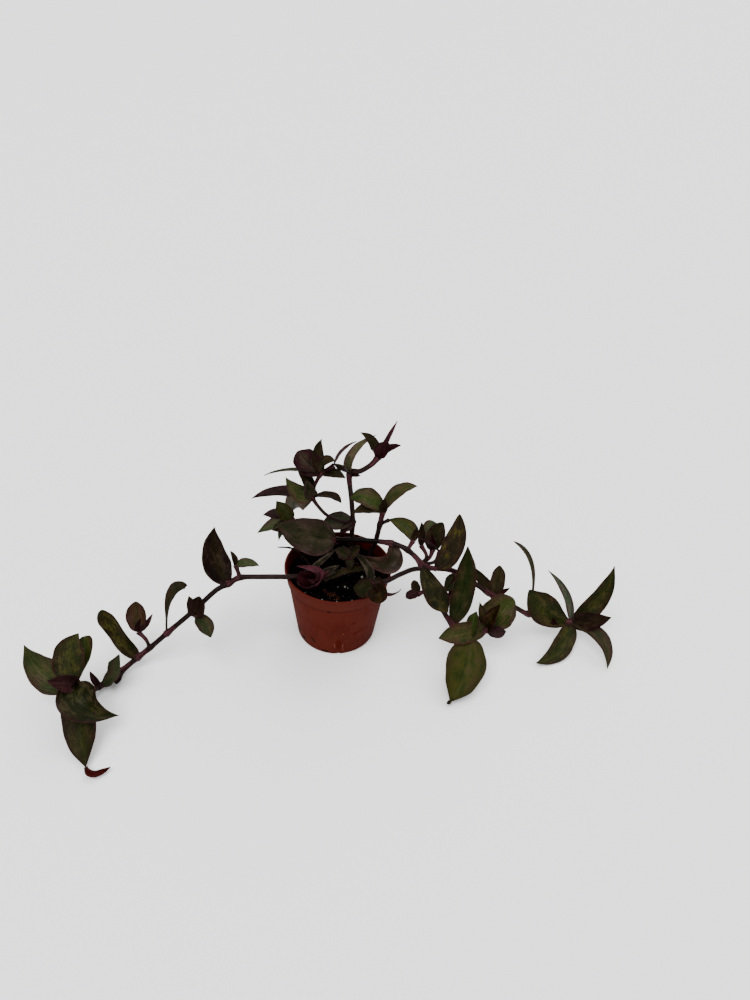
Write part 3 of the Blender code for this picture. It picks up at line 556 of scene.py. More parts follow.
def addLeaf(batch, base, row, shape, number):
    # Upper and lower side, thickest at the midrib, joined to one ring for each s; then the values that the
    # material reads: where on the leaf a corner lies, its length and half width in centimetres, and the
    # colours of its look, darker underneath
    width = row[2]
    rows, columns = next(grid[1:] for grid in shape["grids"] if width >= grid[0])
    s = 0.5 - 0.5 * np.cos(np.linspace(0, np.pi, rows + 1))     # closer together at base and tip
    s = 0.5 * s + 0.5 * np.linspace(0, 1, rows + 1)
    across = np.linspace(-1, 1, columns + 1)
    thick = shape["thickAtMargin"] + (shape["thickAtMidrib"] - shape["thickAtMargin"]) * (1 - across ** 2)
    top, bottom = (leafSurface(base, row, s, across[None], face * thick[None] * 0.5, shape, number)
                   for face in (1, -1))
    corners, faces = closedTube(np.concatenate([top, bottom[:, ::-1]], axis=1))
    shift = number * shape["noiseStep"]
    place = together(s[:, None], np.concatenate([across, across[::-1]])[None], shift).reshape(-1, 3)
    place = np.concatenate([place, [[0, 0, shift], [1, 0, shift]]])
    length = reached(top[:, columns // 2])[-1]
    below = np.append(np.tile(np.repeat([0.0, 1.0], columns + 1), rows + 1), [0, 0])
    *colours, mottle, stripe, veins, shine = leafLooks[row[7]]
    tone, rim, patch, beneath = (np.array(paintColour(colour)) for colour in colours)
    beneath[:3] *= shape["underBrightness"]
    dusk = below[:, None]
    random = np.random.default_rng(number + shape["toneSeed"])
    tone = (tone * (1 - dusk) + beneath * dusk) * random.uniform(*shape["toneSpread"])
    tone[:, 3] = veins
    batch.add(corners, [face[:, ::-1] for face in faces], leafPlace=place,
              leafSize=together(length * 0.1, width * 0.05, below),
              leafHabit=together(mottle * (1 - 0.6 * below), stripe * (1 - below), shine),
              leafTone=tone, leafRim=rim * (1 - dusk) + beneath * 0.8 * dusk,
              leafPatch=patch * (1 - dusk) + (beneath * 1.3) * dusk)


curledLeaf = {
    "middle": (-26.5, -23.5, 81.0),
    "halfWidths": (11.5, 8.5),
    "depth": 8.0,
    "wall": 0.7,
    "rings": 9,
    "sides": 32,
    "lift": 5.0,            # of the rim, on the side it is turned to
    "liftTowards": 62.0,    # degrees from +X
    # rim is the leaf's mauve edge, lightened as a painted highlight; inside is near black, painted shade in the
    # hollow
    "rim": (120, 58, 74),
    "outside": (50, 22, 28),
    "inside": (7, 4, 3),
    "shine": 0.6,
}


def addCurledLeaf(batch, curl, shift):
    # A bowl: rings from the bottom up the inside, over the rim and down the outside. A ring at the angle q
    # from the bottom has the radius sin q and lies cos q of the depth below the rim, whose one side is lifted.
    q = np.linspace(0.06, 1, curl["rings"]) * math.pi / 2
    q, side = np.concatenate([q, q[::-1]])[:, None], np.repeat([-0.5, 0.5], len(q))[:, None] * curl["wall"]
    angles = turns(curl["sides"])[None]
    towards = 0.5 + 0.5 * np.cos(angles - math.radians(curl["liftTowards"]))
    lip = np.sin(q) ** 4
    ragged = 1 + 0.05 * np.sin(angles * 3 + 1.0) * lip
    (wide, deep), (x, y, z) = curl["halfWidths"], curl["middle"]
    x = x + (wide * np.sin(q) * ragged + side) * np.cos(angles)
    y = y + (deep * np.sin(q) * ragged + side) * np.sin(angles)
    z = z - (curl["depth"] + side) * np.cos(q) + curl["lift"] * lip * towards
    corners, faces = closedTube(together(x, y, z))
    # Painted light: the rim colour, partly a painted highlight, covers most on the lifted side, and the inner face
    # turns to the near black of painted shade towards the bottom
    share = (np.clip((q - 1.0) / 0.3, 0, 1) * (0.25 + 0.75 * towards))[..., None]
    rim, outside, inside = (np.array(paintColour(curl[key])) for key in ("rim", "outside", "inside"))
    wall = np.where(side[..., None] > 0, outside, inside * np.cos(q)[..., None] + outside * np.sin(q)[..., None])
    tone = (wall * (1 - share) + rim * share).reshape(-1, 4)
    tone = np.concatenate([tone, inside[None], outside[None]])
    tone[:, 3] = 0.8
    place = together(0.3 + 0.2 * q, 0.5 * np.sin(angles), shift).reshape(-1, 3)
    batch.add(corners, faces, leafPlace=np.concatenate([place, [[0.3, 0, shift]] * 2]), leafSize=[2.0, 0.8, 0.0],
              leafHabit=[0.0, 0.0, curl["shine"]], leafTone=tone, leafRim=tone, leafPatch=tone)


def spokes(first, second, angles):
    # Directions round each of many lines, from two that stand across it
    return first[:, None] * np.cos(angles)[:, None] + second[:, None] * np.sin(angles)[:, None]


def addNeedles(batch, roots, directions, lengths, thickness):
    # Each hair is a needle of four faces: three corners round its root and one at its point
    helper = np.where(np.abs(directions[:, 2:]) < 0.9, [[0, 0, 1]], [[1, 0, 0]])
    first = unit(np.cross(directions, helper))
    ring = spokes(first, np.cross(directions, first), np.arange(3) * 2 * np.pi / 3)
    point = (roots + directions * lengths[:, None])[:, None]
    corners = np.concatenate([roots[:, None] + ring * thickness * 0.5, point], axis=1).reshape(-1, 3)
    corners[:, 2] = np.maximum(corners[:, 2], 0.05)     # hairs bend where they meet the table
    faces = np.array([[0, 1, 3], [1, 2, 3], [2, 0, 3], [2, 1, 0]])
    batch.add(corners, [(faces[None] + np.arange(len(roots))[:, None, None] * 4).reshape(-1, 3)])


def addMarginHairs(batch, base, row, shape, number):
    # Hairs stand out from both margins, leaning towards the tip
    random = np.random.default_rng(number + shape["hairSeed"])
    count = int(math.dist(base, row[1]) * shape["hairsPerMm"])
    s = np.sort(random.uniform(*shape["hairsAlong"], count))
    _, ahead, side, upper, _ = leafFrame(base, row, s, shape)
    fold = math.radians(row[5])
    for edge in (-1.0, 1.0):
        points = leafSurface(base, row, s, np.full((count, 1), edge), 0.0, shape, number)[:, 0]
        out = side * edge * math.cos(fold) + upper * math.sin(fold)
        lean = out + ahead * random.uniform(*shape["hairLean"], (count, 1))
        lean = lean + random.normal(0, shape["hairSpread"], (count, 3))
        lengths = random.uniform(*shape["hairLength"], count)
        addNeedles(batch, points, unit(lean), lengths, shape["hairThickness"])


# Stems

stemShape = {
    "radius": 2.5,
    "shootRadius": 1.7,
    "jointSwell": 1.28,
    "sheathLength": 6.0,
    "step": 1.2,
    "sides": 18,
    "noiseStep": 5.3,        # how far apart in the noise two stems lie
    "sleeveBelow": 12.0,     # how far a sleeve reaches down the stem from its joint
    "sleeveAbove": 1.5,
    "sleeveClear": 0.35,
    "sleeveFlare": 0.25,
    "sleeveShortest": 3.0,
    "sleeveRings": 14,
    "sleeveHairs": 40,
    "hairLength": (0.8, 1.8),
    "hairOutward": 0.5,      # beside 1 along the stem
    "hairSpread": 0.2,
    "hairThickness": 0.05,
    "seed": 70,
    # painted shade on every stem: shade holds how much everywhere, more at a joint, and how far that reaches
    "shade": (0.12, 0.25, 7.0),     # everywhere, more at a joint, and how far that reaches
    # painted shade under the crown and a darker stretch along the left arm: middle, half sizes, strength
    "dusk": (((22, 12, 106), (32, 9, 9), 1.0), ((-140, -55, 65), (55, 60, 50), 0.5)),
}


def smoothRoute(points, step):
    # A Catmull-Rom curve through the points, about one step apart
    points = np.array(points, float)
    padded = np.concatenate([[points[0] * 2 - points[1]], points, [points[-1] * 2 - points[-2]]])
    knots = reached(points)
    count = max(4, round(knots[-1] / step))
    place = np.interp(np.linspace(0, knots[-1], count + 1), knots, np.arange(len(points)))
    index = np.minimum(place.astype(int), len(points) - 2)
    t = (place - index)[:, None]
    before, start, end, after = (padded[index + k] for k in range(4))
    square = (2 * before - 5 * start + 4 * end - after) * t ** 2
    cube = (3 * start - before - 3 * end + after) * t ** 3
    return 0.5 * (2 * start + (end - before) * t + square + cube)


def pathFrame(route):
    # Directions ahead, sideways and up along a route, measured from one fixed direction
    ahead = unit(np.gradient(route, axis=0))
    sideways = unit(np.cross(ahead, [0.12, 0.98, 0.15]))
    return ahead, sideways, np.cross(sideways, ahead)


def addTube(batch, route, radius, sides, sheath, shadow, number):
    # A circle carried along the route; radius has a row for each of its points and a column, or one for each side
    _, sideways, above = pathFrame(route)
    angles = turns(sides)
    corners, faces = closedTube(route[:, None] + spokes(sideways, above, angles) * radius[..., None])
    run = reached(route)
    around = np.cos(angles) * 1.3 + np.sin(angles * 2) * 0.4
    place = together(run[:, None], around[None], sheath).reshape(-1, 3)
    place = np.concatenate([place, [[run[0], 0, sheath], [run[-1], 0, sheath]]])
    dark = np.append(np.repeat(shadow, sides), [shadow[0], shadow[-1]])
    batch.add(corners, faces, stemPlace=place, stemHabit=together(dark, number * stemShape["noiseStep"], 0.0))


def addRun(batch, hairs, run, radius, shape, leafJoints, number):
    # A run of stem, swollen at its joints, and a sleeve with a hairy rim under each leaf
    route = smoothRoute([place for _, *place in run], shape["step"])
    joints = np.array([place for name, *place in run if name], float).reshape(-1, 3)
    near = np.linalg.norm(route[:, None] - joints[None], axis=-1).min(axis=1)
    swell = 1 + (shape["jointSwell"] - 1) * np.maximum(0, 1 - near / shape["sheathLength"])
    # Painted shade: how dark the stem is painted, more near each joint and inside each dusk place
    everywhere, more, distance = shape["shade"]
    shadow = everywhere + more * np.exp(-(near / distance) ** 2)
    for middle, halves, strength in shape["dusk"]:
        within = np.linalg.norm((route - np.array(middle)) / np.array(halves), axis=1) < 1
        shadow = np.maximum(shadow, strength * within)
    addTube(batch, route, (radius * swell)[:, None], shape["sides"], 0.0, shadow, number)
    reach = reached(route)
    random = np.random.default_rng(number + shape["seed"])
    for name, *spot in run:
        if name not in leafJoints:
            continue
        at = reach[np.linalg.norm(route - spot, axis=1).argmin()]
        start, stop = max(0.5, at - shape["sleeveBelow"]), min(reach[-1], at + shape["sleeveAbove"])
        if stop - start < shape["sleeveShortest"]:
            continue
        steps, t = (np.linspace(*ends, shape["sleeveRings"]) for ends in ((start, stop), (0, 1)))
        path = np.stack([np.interp(steps, reach, route[:, axis]) for axis in range(3)], axis=-1)
        stem = np.interp(steps, reach, radius * swell)
        flare = shape["sleeveClear"] * (0.3 + 0.7 * t) + shape["sleeveFlare"] * t ** 4
        ragged = 1 + 0.05 * np.sin(turns(shape["sides"]) * 3 + random.uniform(0, 6)) * t[:, None] ** 3
        addTube(batch, path, (stem + flare)[:, None] * ragged, shape["sides"], 1.0, np.zeros(len(t)), number + at)
        angles = random.uniform(0, 2 * np.pi, shape["sleeveHairs"])
        ahead, sideways, above = pathFrame(path)
        out = spokes(sideways[-1:], above[-1:], angles)[0]
        roots = path[-1] + out * (stem[-1] + flare[-1])
        lean = unit(out * shape["hairOutward"] + ahead[-1] + random.normal(0, shape["hairSpread"], out.shape))
        addNeedles(hairs, roots, lean, random.uniform(*shape["hairLength"], len(roots)), shape["hairThickness"])


def growPlant(plant, leafNumber):
    # Leaves, stem and hairs of one rooted stem, as three pieces that stand for its solid
    stems, leaves, hairs = Batch(), Batch(), Batch()
    joints = {name: place for run in plant["runs"] for name, *place in run if name}
    leafJoints = {row[0] for row in plant["leaves"]}
    for index, run in enumerate(plant["runs"]):
        radius = stemShape["shootRadius" if index else "radius"]
        addRun(stems, hairs, run, radius, stemShape, leafJoints, leafNumber + index)
    for row in plant["leaves"]:
        leafNumber += 1
        base = joints.get(row[0], row[0])
        addLeaf(leaves, base, row, leafShape, leafNumber)
        addMarginHairs(hairs, base, row, leafShape, leafNumber)
    if "curled" in plant:
        addCurledLeaf(leaves, plant["curled"], leafNumber * leafShape["noiseStep"])
    name = plant["node"]
    makePiece(name + ".leaves", leaves, leafMaterial, replaces=[name], smooth=60)
    makePiece(name + ".stems", stems, stemMaterial, smooth=50)
    makePiece(name + ".hairs", hairs, hairMaterial, smooth=80)
    return leafNumber


# The rooted stems. A run lists (joint, x, y, z), and a leaf is (joint, tip, width, side it looks to,
# bend of the midrib, fold in degrees, form, look). A leaf that no joint holds has its foot's place instead.

leftTrailingStem = {
    "node": "left_trailing_stem",
    "runs": [
        [("", -23, -18, 50), ("", -23, -18, 71), ("low", -23, -18, 76), ("rise", -33, -21, 83.5),
         ("", -48, -25, 86.2), ("", -70, -27, 86), ("first", -91, -28, 84), ("lower", -101, -34.5, 81),
         ("", -112, -42, 78), ("second", -130, -52, 62), ("third", -157, -60, 36),
         ("fourth", -174, -66, 20), ("wave", -185, -72, 12), ("fifth", -199, -84, 4.2),
         ("", -206, -94, 4), ("sixth", -211, -105, 7.5), ("", -215, -117, 15),
         ("end", -219.5, -127, 38)],
        [("first", -91, -28, 84), ("spur", -96, -22, 94)],
        [("second", -130, -52, 62), ("knot", -128, -58, 58)],
        [("fourth", -174, -66, 20), ("", -177, -64, 29), ("twin", -184, -62, 37)],
    ],
    "leaves": [
        ("low", (-38, -21, 97), 7, high, (28, -4, 10), 20, "broad", "rosy"),
        ("low", (-37, -24, 90), 16, front, (0, -4, 4), 20, "broad", "plum"),
        ("rise", (-2, -9, 111), 5, high, (2, 0, 2), 14, "blade", "paleEdged"),
        ("low", (2, -9, 91), 7, high, (0, 0, 3), 20, "blade", "paleEdged"),
        ("lower", (-116, -10, 129), 27, front, (-11, 0, -3), 22, "blade", "blackOlive"),
        ("spur", (-101, -18, 108), 6, right, (2, 0, 0), 30, "bud", "umber"),
        ("spur", (-73, -24, 97), 9.5, high, (0, 0, 6), 12, "blade", "greyGreen"),
        ("knot", (-124.5, -52, 79.5), 17, front, (0, -3, 0), 25, "round", "maroon"),
        ("knot", (-136, -48, 75), 11, front, (0, 2, 0), 25, "blade", "umber"),
        ("knot", (-111, -76, 51), 14.5, high, (4, 0, 6), 14, "broad", "slateGreen"),
        ("third", (-139.5, -37, 77.5), 13, left, (-8, -2, 34), 20, "strap", "umberOlive"),
        ("twin", (-189, -44, 59), 20, front, (0, 2, 0), 22, "round", "coppery"),
        ("twin", (-180, -50, 48), 9, front, (0, -4, 0), 35, "bud", "aubergine"),
        ("twin", (-173, -48, 48), 7, left, (2, 0, -4), 15, "blade", "mauve"),
        ("wave", (-220, -53, 53.5), 16, front, (-7, 0, 6), 14, "lobed", "oliveBrown"),
        ("fifth", (-196, -102, 8), 9, up, (0, 0, 4), 20, "round", "aubergine"),
        ("sixth", (-193, -91, 37), 20, left, (11, -2, -8), 30, "spoon", "greyGreen"),
        ("sixth", (-219, -101, 22.5), 7, front, (0, 0, 0), 30, "bud", "mauve"),
        ("end", (-271, -104, 56), 31, front, (-10, -3, -22), 14, "beaked", "greyOlive"),
        ("end", (-223, -96, 67), 30, front, (-12, 0, 4), 18, "blade", "greyMottled"),
        ("end", (-219, -92, 60), 14, front, (6, 0, 0), 20, "paddle", "mossGreen"),
        ("end", (-238, -138, 51), 20, right, (0, 0, 0), 42, "bud", "mauve"),
        ("end", (-216, -136, 50), 12, left, (0, 0, 0), 42, "bud", "aubergine"),
        ("end", (-180, -142, 16), 34, high, (-12, -27, 8), 16, "lance", "deepMottled"),
        ("end", (-195.5, -187.5, 4), 31, front, (-1, 0, -12), 12, "blade", "brownStriped"),
        ("low", (-1, -14, 87), 5, high, (0, 0, 2), 20, "blade", "paleEdged"),
        ((-12, -20, 80), (36, -1, 79.5), 5.5, front, (0, 13, 5), 14, "blade", "umberOlive"),
        ((-17, -21, 78), (-4.5, -11.5, 87), 5, high, (0, 0, 3), 30, "blade", "rosy"),
        ((-195.5, -187.1, 4), (-175.5, -185, 3.4), 5.5, high, (-3, -14, 0), 25, "wavy", "withered"),
    ],
    "curled": curledLeaf,
}

archingStem = {
    "node": "arching_stem",
    "runs": [
        [("", -18, 34, 50), ("", -18, 34, 71), ("", -18, 34, 77), ("", -13, 26, 92),
         ("crown", -4, 17, 101), ("", 20, 11, 108), ("knee", 50, 8, 109), ("fork", 66, 2, 107),
         ("hand", 80, -7, 98), ("", 93, -20, 80), ("", 104, -28, 60), ("wrist", 115, -32, 45),
         ("", 124, -35, 38), ("palm", 133, -36, 33), ("end", 151, -25, 34)],
        [("fork", 66, 2, 107), ("nearBud", 71, 10, 112)],
        [("hand", 80, -7, 98), ("", 85, 2, 101), ("midBud", 79, 8, 109)],
        [("hand", 80, -7, 98), ("", 88, 3, 98), ("farBud", 91, 10, 102)],
        [("hand", 80, -7, 98), ("", 93, -1, 97), ("edge", 98, 8, 102)],
        [("", 93, -20, 80), ("cup", 78, -31, 81)],
        [("hand", 80, -7, 98), ("heel", 95, -8, 94)],
    ],
    "leaves": [
        ("crown", (-62, 14, 119), 36, front, (0, -4, -4), 12, "blade", "duskOlive"),
        ("knee", (16, -5, 103), 19, front, (33, -14, -24), 16, "blade", "satinBrown"),
        ("nearBud", (46, 26, 124), 18, right, (9, 0, 7), 24, "blade", "stripedGreen"),
        ("nearBud", (74.5, 16, 125), 7, front, (0, 0, 0), 35, "bud", "umber"),
        ("midBud", (78, 18, 130), 7.5, front, (0, 0, 0), 30, "bud", "umber"),
        ("edge", (74, 6, 121), 8, tilt, (0, 0, 2), 10, "blade", "mauve"),
        ("farBud", (99, 23, 127), 18, front, (-5, 0, 0), 18, "round", "umberOlive"),
        ("farBud", (88.5, 12, 121), 8, front, (0, -2, 0), 32, "bud", "plum"),
        ("farBud", (88, 32, 122), 17, front, (-3, 3, 6), 18, "round", "greyGreen"),
        ("heel", (112, 12, 147), 21, front, (10, -6, -5), 14, "wavy", "brownMottled"),
        ("hand", (107, -44, 72), 21, front, (-3, -5, 1), 14, "spoon", "oliveMottled"),
        ("wrist", (124, 8, 112), 22, front, (8, -2, -4), 14, "broad", "deepGreen"),
        ("cup", (73.3, -22, 90.5), 8.5, front, (0, 0, 0), 20, "round", "umber"),
        ("cup", (67, -35, 79), 10, high, (0, 0, 2), 25, "round", "aubergine"),
        ("palm", (115, -94, 6), 38, front, (8, -3, 9), 8, "broad", "broadOlive"),
        ("palm", (137, -27, 60), 15, left, (2, 0, 2), 22, "broad", "freshGreen"),
        ("end", (102, -44, 37), 21, front, (-2, -8, 12), 12, "broad", "greenBrown"),
        ("end", (176, -8, 61), 33, front, (-5, 0, 6), 12, "round", "veinedGreen"),
        ("end", (159, -24, 69), 17, left, (-4, -4, 0), 34, "bud", "amber"),
        ("end", (168, -33, 42), 12, back, (0, -4, -1), 14, "broad", "mauve"),
        ("end", (141, -14, 60), 10, front, (0, 0, 0), 20, "blade", "deepGreen"),
        ((116.5, -91.5, 8.4), (111.5, -95.5, 4.5), 3.4, front, (1.5, 0, -1), 30, "strap", "dryTip"),
    ],
}

rightTrailingStem = {
    "node": "right_trailing_stem",
    "runs": [
        [("", 22, -23, 50), ("", 22, -23, 71), ("", 22, -23, 76), ("lean", 33, -23, 84),
         ("", 47, -23, 87.5), ("", 62, -5, 82), ("", 78, 6, 80.5), ("", 107, 8, 80.5),
         ("first", 119, 4, 79), ("", 138, -1, 70.5), ("second", 156, -4, 60), ("", 178, -3, 47),
         ("third", 195, 0, 35), ("small", 216, 11, 23), ("end", 243.5, 9, 18.5)],
        [("lean", 33, -23, 84), ("", 35, -30, 89), ("spur", 36, -37, 93)],
    ],
    "leaves": [
        ("spur", (17, -43, 95), 17, front, (0, 0, -3), 12, "broad", "darkGreen"),
        ("spur", (42, -50, 84), 19, front, (2, -2, 4), 20, "round", "amber"),
        ("spur", (61, -45, 99), 4, up, (4, 0, -18), 10, "blade", "mauve"),
        ("lean", (14, -6, 107), 8, high, (10, 4, -2), 20, "blade", "paleEdged"),
        ("first", (107, -3, 60), 15, front, (0, 2, 0), 18, "blade", "slateGreen"),
        ("second", (134, 12, 83), 13, front, (2, 0, -6), 18, "blade", "umberOlive"),
        ("second", (159, 12, 87), 15, front, (1, 0, 0), 20, "round", "umberOlive"),
        ("third", (175, 44, 93), 4.5, left, (22, 13, 21), 10, "strap", "dusty"),
        ("small", (227, -4, 26), 7, front, (0, 0, 0), 25, "bud", "aubergine"),
        ("end", (192.5, 8, 61), 31, front, (-5, -5, -12), 12, "spoon", "yellowPatched"),
        ("end", (214, 34, 66), 9.5, left, (15, 1, 7), 28, "blade", "paleGrey"),
        ("end", (280, 34, 78), 22, front, (14, 0, -13), 22, "blade", "yellowPatched"),
        ("end", (277, -5, 43), 20, front, (0, 0, -2), 16, "blade", "brownPurple"),
        ("end", (275, -38, 4), 16, high, (23, 4, 15), 20, "blade", "greyBrown"),
        ("end", (203, -38, 5), 22, front, (10, -10, -8), 16, "blade", "greyMottled"),
        ("first", (112.5, -4, 42), 10, front, (0, 0, 0), 20, "blade", "plum"),
        ("second", (171, 0, 69), 5, front, (0, 0, 0), 30, "blade", "plum"),
        ((36.5, -38.5, 91), (40.5, -46.5, 96.5), 6, front, (0, 0, 1), 35, "bud", "maroon"),
        ((44, -30, 83), (37, -22, 89), 10, front, (0, 0, 3), 24, "round", "umber"),
    ],
}

uprightStem = {
    "node": "upright_stem",
    "runs": [
        [("", 10, 28, 50), ("", 10, 28, 71), ("", 10, 28, 77), ("low", 11, 31, 114), ("", 9, 31, 140),
         ("top", 6, 33, 170), ("", 16, 31, 175), ("", 26, 30, 184), ("tip", 32, 30, 193)],
        [("low", 11, 31, 114), ("", 1, 28, 116), ("", -9, 26, 121), ("", -16, 25, 126.5),
         ("", -23.5, 25, 136), ("elbow", -28, 25, 145.5), ("", -26.5, 26, 158), ("head", -20, 27, 172),
         ("crest", -9, 28, 181)],
    ],
    "leaves": [
        ("low", (-19, 32, 110), 21, high, (0, 0, 1), 12, "broad", "specked"),
        ("low", (-1, 20, 107), 9, front, (0, 0, 0), 20, "blade", "aubergine"),
        ("top", (29, 44, 208), 13, left, (-13, -3, 8), 36, "lance", "ashen"),
        ("top", (16.5, 26, 173), 4.5, front, (0, 0, 0), 25, "blade", "aubergine"),
        ("tip", (41, 26, 211), 14, front, (-2, 0, 2), 28, "round", "plum"),
        ("tip", (52, 30, 207), 9, high, (0, 0, 4), 28, "blade", "plum"),
        ("tip", (47, 38, 228), 5.5, right, (-3, 0, -2), 25, "blade", "rosy"),
        ("tip", (14, 38, 213), 12, left, (10, 0, 6), 28, "blade", "umberOlive"),
        ("top", (-9, 24, 186), 9, left, (3, 0, 2), 20, "blade", "umber"),
        ("elbow", (-44, 36, 172), 11, high, (4, 0, 4), 16, "round", "umberOlive"),
        ("crest", (11, 40, 202), 7, (-0.6, 0, 0.8), (-5, 0, 6), 10, "blade", "mauve"),
        ("head", (-43, 34, 191), 23, front, (-6, 0, 2), 14, "round", "plumStriped"),
        ("head", (-21.5, 39, 202.5), 14, right, (-10, 2, 0), 22, "blade", "umberOlive"),
        ("head", (-8, 23, 190), 12, high, (-7, 0, 9), 20, "round", "umberOlive"),
        ("head", (3, 22, 172), 11, high, (0, 0, 5), 16, "blade", "umberOlive"),
        ("head", (-73, 19, 171), 6, (0, 0.15, 0.99), (-4, 0, 10), 10, "blade", "slateGreen"),
        ("elbow", (-53, 20, 170), 19, front, (-3, 0, -10), 30, "blade", "lightOlive"),
        ("elbow", (-33, 17, 170), 14, front, (0, -2, 0), 32, "bud", "duskOlive"),
        ("elbow", (0, 15, 148), 11, up, (6, 0, 10), 16, "broad", "umber"),
        ("elbow", (-50, 43, 113), 22, back, (-14, 0, 6), 12, "broad", "dusty"),
        ("elbow", (-86.5, 22, 141), 11, (0, 0.7, -0.1), (-2, 0, 15), 14, "blade", "mauve"),
    ],
}

smallUprightStem = {
    "node": "small_upright_stem",
    "runs": [
        [("", 30, 24, 50), ("", 30, 24, 71), ("", 30, 24, 77), ("", 35, 21, 100), ("mid", 38, 20, 122),
         ("tip", 40, 20, 139)],
        [("mid", 38, 20, 122), ("stub", 46, 17, 130)],
    ],
    "leaves": [
        ("tip", (8, 24, 148), 21, high, (0, 0, 14), 14, "broad", "freshGreen"),
        ("tip", (71, 34, 160), 13, high, (-5, 0, 15), 18, "broad", "greenBrown"),
        ("tip", (11, 8, 142), 13, high, (0, 0, 8), 16, "blade", "umberOlive"),
        ("tip", (41, 17, 156), 9, front, (0, 0, 0), 32, "bud", "umber"),
    ],
}

backLeftStem = {
    "node": "back_left_stem",
    "runs": [
        [("", -33, 20, 50), ("", -33, 20, 71), ("", -33, 20, 77), ("", -40, 27, 95),
         ("tip", -49, 29, 113)],
    ],
    "leaves": [
        ("tip", (-64, 30, 134), 17, front, (0, 0, 0), 32, "broad", "stripedGreen"),
        ("tip", (-78, 32, 114), 12, back, (0, 0, 8), 16, "blade", "mauve"),
        ("tip", (-82, 20, 100.5), 13, high, (0, 0, 6), 14, "blade", "greyGreen"),
        ("tip", (-67, 18, 107), 10, front, (0, 0, -2), 14, "broad", "umberOlive"),
        ("tip", (-60, 14, 98), 8, left, (-4, 0, 2), 14, "blade", "slateGreen"),
    ],
}

youngStem = {
    "node": "young_stem",
    "runs": [
        [("", 12, 4, 50), ("", 12, 4, 71), ("", 12, 4, 75), ("", 11, 4, 83), ("tip", 10, 4, 92)],
    ],
    "leaves": [
        ("tip", (-4, 2, 101), 13, front, (0, 0, 3), 26, "blade", "duskOlive"),
        ("tip", (13, -6, 84.5), 8, front, (0, 0, 0), 22, "blade", "umberOlive"),
        ("tip", (20, 6, 105), 11, front, (0, 0, 0), 26, "blade", "umberOlive"),
    ],
}

leafNumber = 0
for plant in (leftTrailingStem, archingStem, rightTrailingStem, uprightStem, smallUprightStem, backLeftStem,
              youngStem):
    leafNumber = growPlant(plant, leafNumber)


# The pot

pot = {
    "rimRadius": 52.5,
    "height": 83.0,
    "baseRadius": 39.5,
    "wall": 1.2,
    "lip": 0.6,
    "lipDepth": 1.9,
    "bandDepth": 15.0,
    "bandStep": 1.1,
    "floorTop": 3.0,
    "underside": 1.6,
    "footInner": 33.0,
    "hub": 12.0,
    "drainCircle": 22.5,
    "drainRadius": 3.2,
    "drainReach": 5.0,       # the floor is patched this far in and out of the drain circle
    "fluteRadius": 14.6,
    "fluteDepth": 0.6,
    "fluteHeight": 18.0,
    "notchRadius": 3.5,
    "notchRise": 1.2,
    "quarters": 4,           # flutes and notches
    "quarterTurn": 7.8,      # degrees that the first is turned from the front
    "drains": 8,
    "stepsPerDrain": 48,     # of the turned surfaces, in the eighth of a turn round one drain hole
    "profileStep": 1.6,
}


def wallRadius(height, shape):
    # The outer wall leans out evenly from base to rim
    top = shape["rimRadius"] - shape["lip"] - shape["bandStep"]
    return shape["baseRadius"] + (top - shape["baseRadius"]) * height / shape["height"]


def roundedProfile(points, step):
    # Corners (radius, height, rounding) become short quadratic curves, and long runs get a point each step
    points = np.array(points, float)
    here, cut = points[:, :2], points[:, 2:]
    start = here + unit(np.concatenate([here[:1], here[:-1]]) - here) * cut
    finish = here + unit(np.concatenate([here[1:], here[-1:]]) - here) * cut
    t = np.linspace(0, 1, 6)[None, :, None]
    curve = start[:, None] * (1 - t) ** 2 + here[:, None] * 2 * t * (1 - t) + finish[:, None] * t * t
    curve = curve.reshape(-1, 2)
    run = reached(curve)
    places = np.unique(np.round(np.concatenate([run, np.arange(0, run[-1], step)]), 3))
    return np.interp(places, run, curve[:, 0]), np.interp(places, run, curve[:, 1])


def addTurned(batch, radius, height, steps):
    # The profile carried once round the upright axis
    angles = turns(steps)
    radius, height = (x if x.ndim == 2 else x[:, None] + 0 * angles for x in (radius, height))
    batch.add(together(radius * np.cos(angles), radius * np.sin(angles), height), [gridFaces(len(radius), steps)])


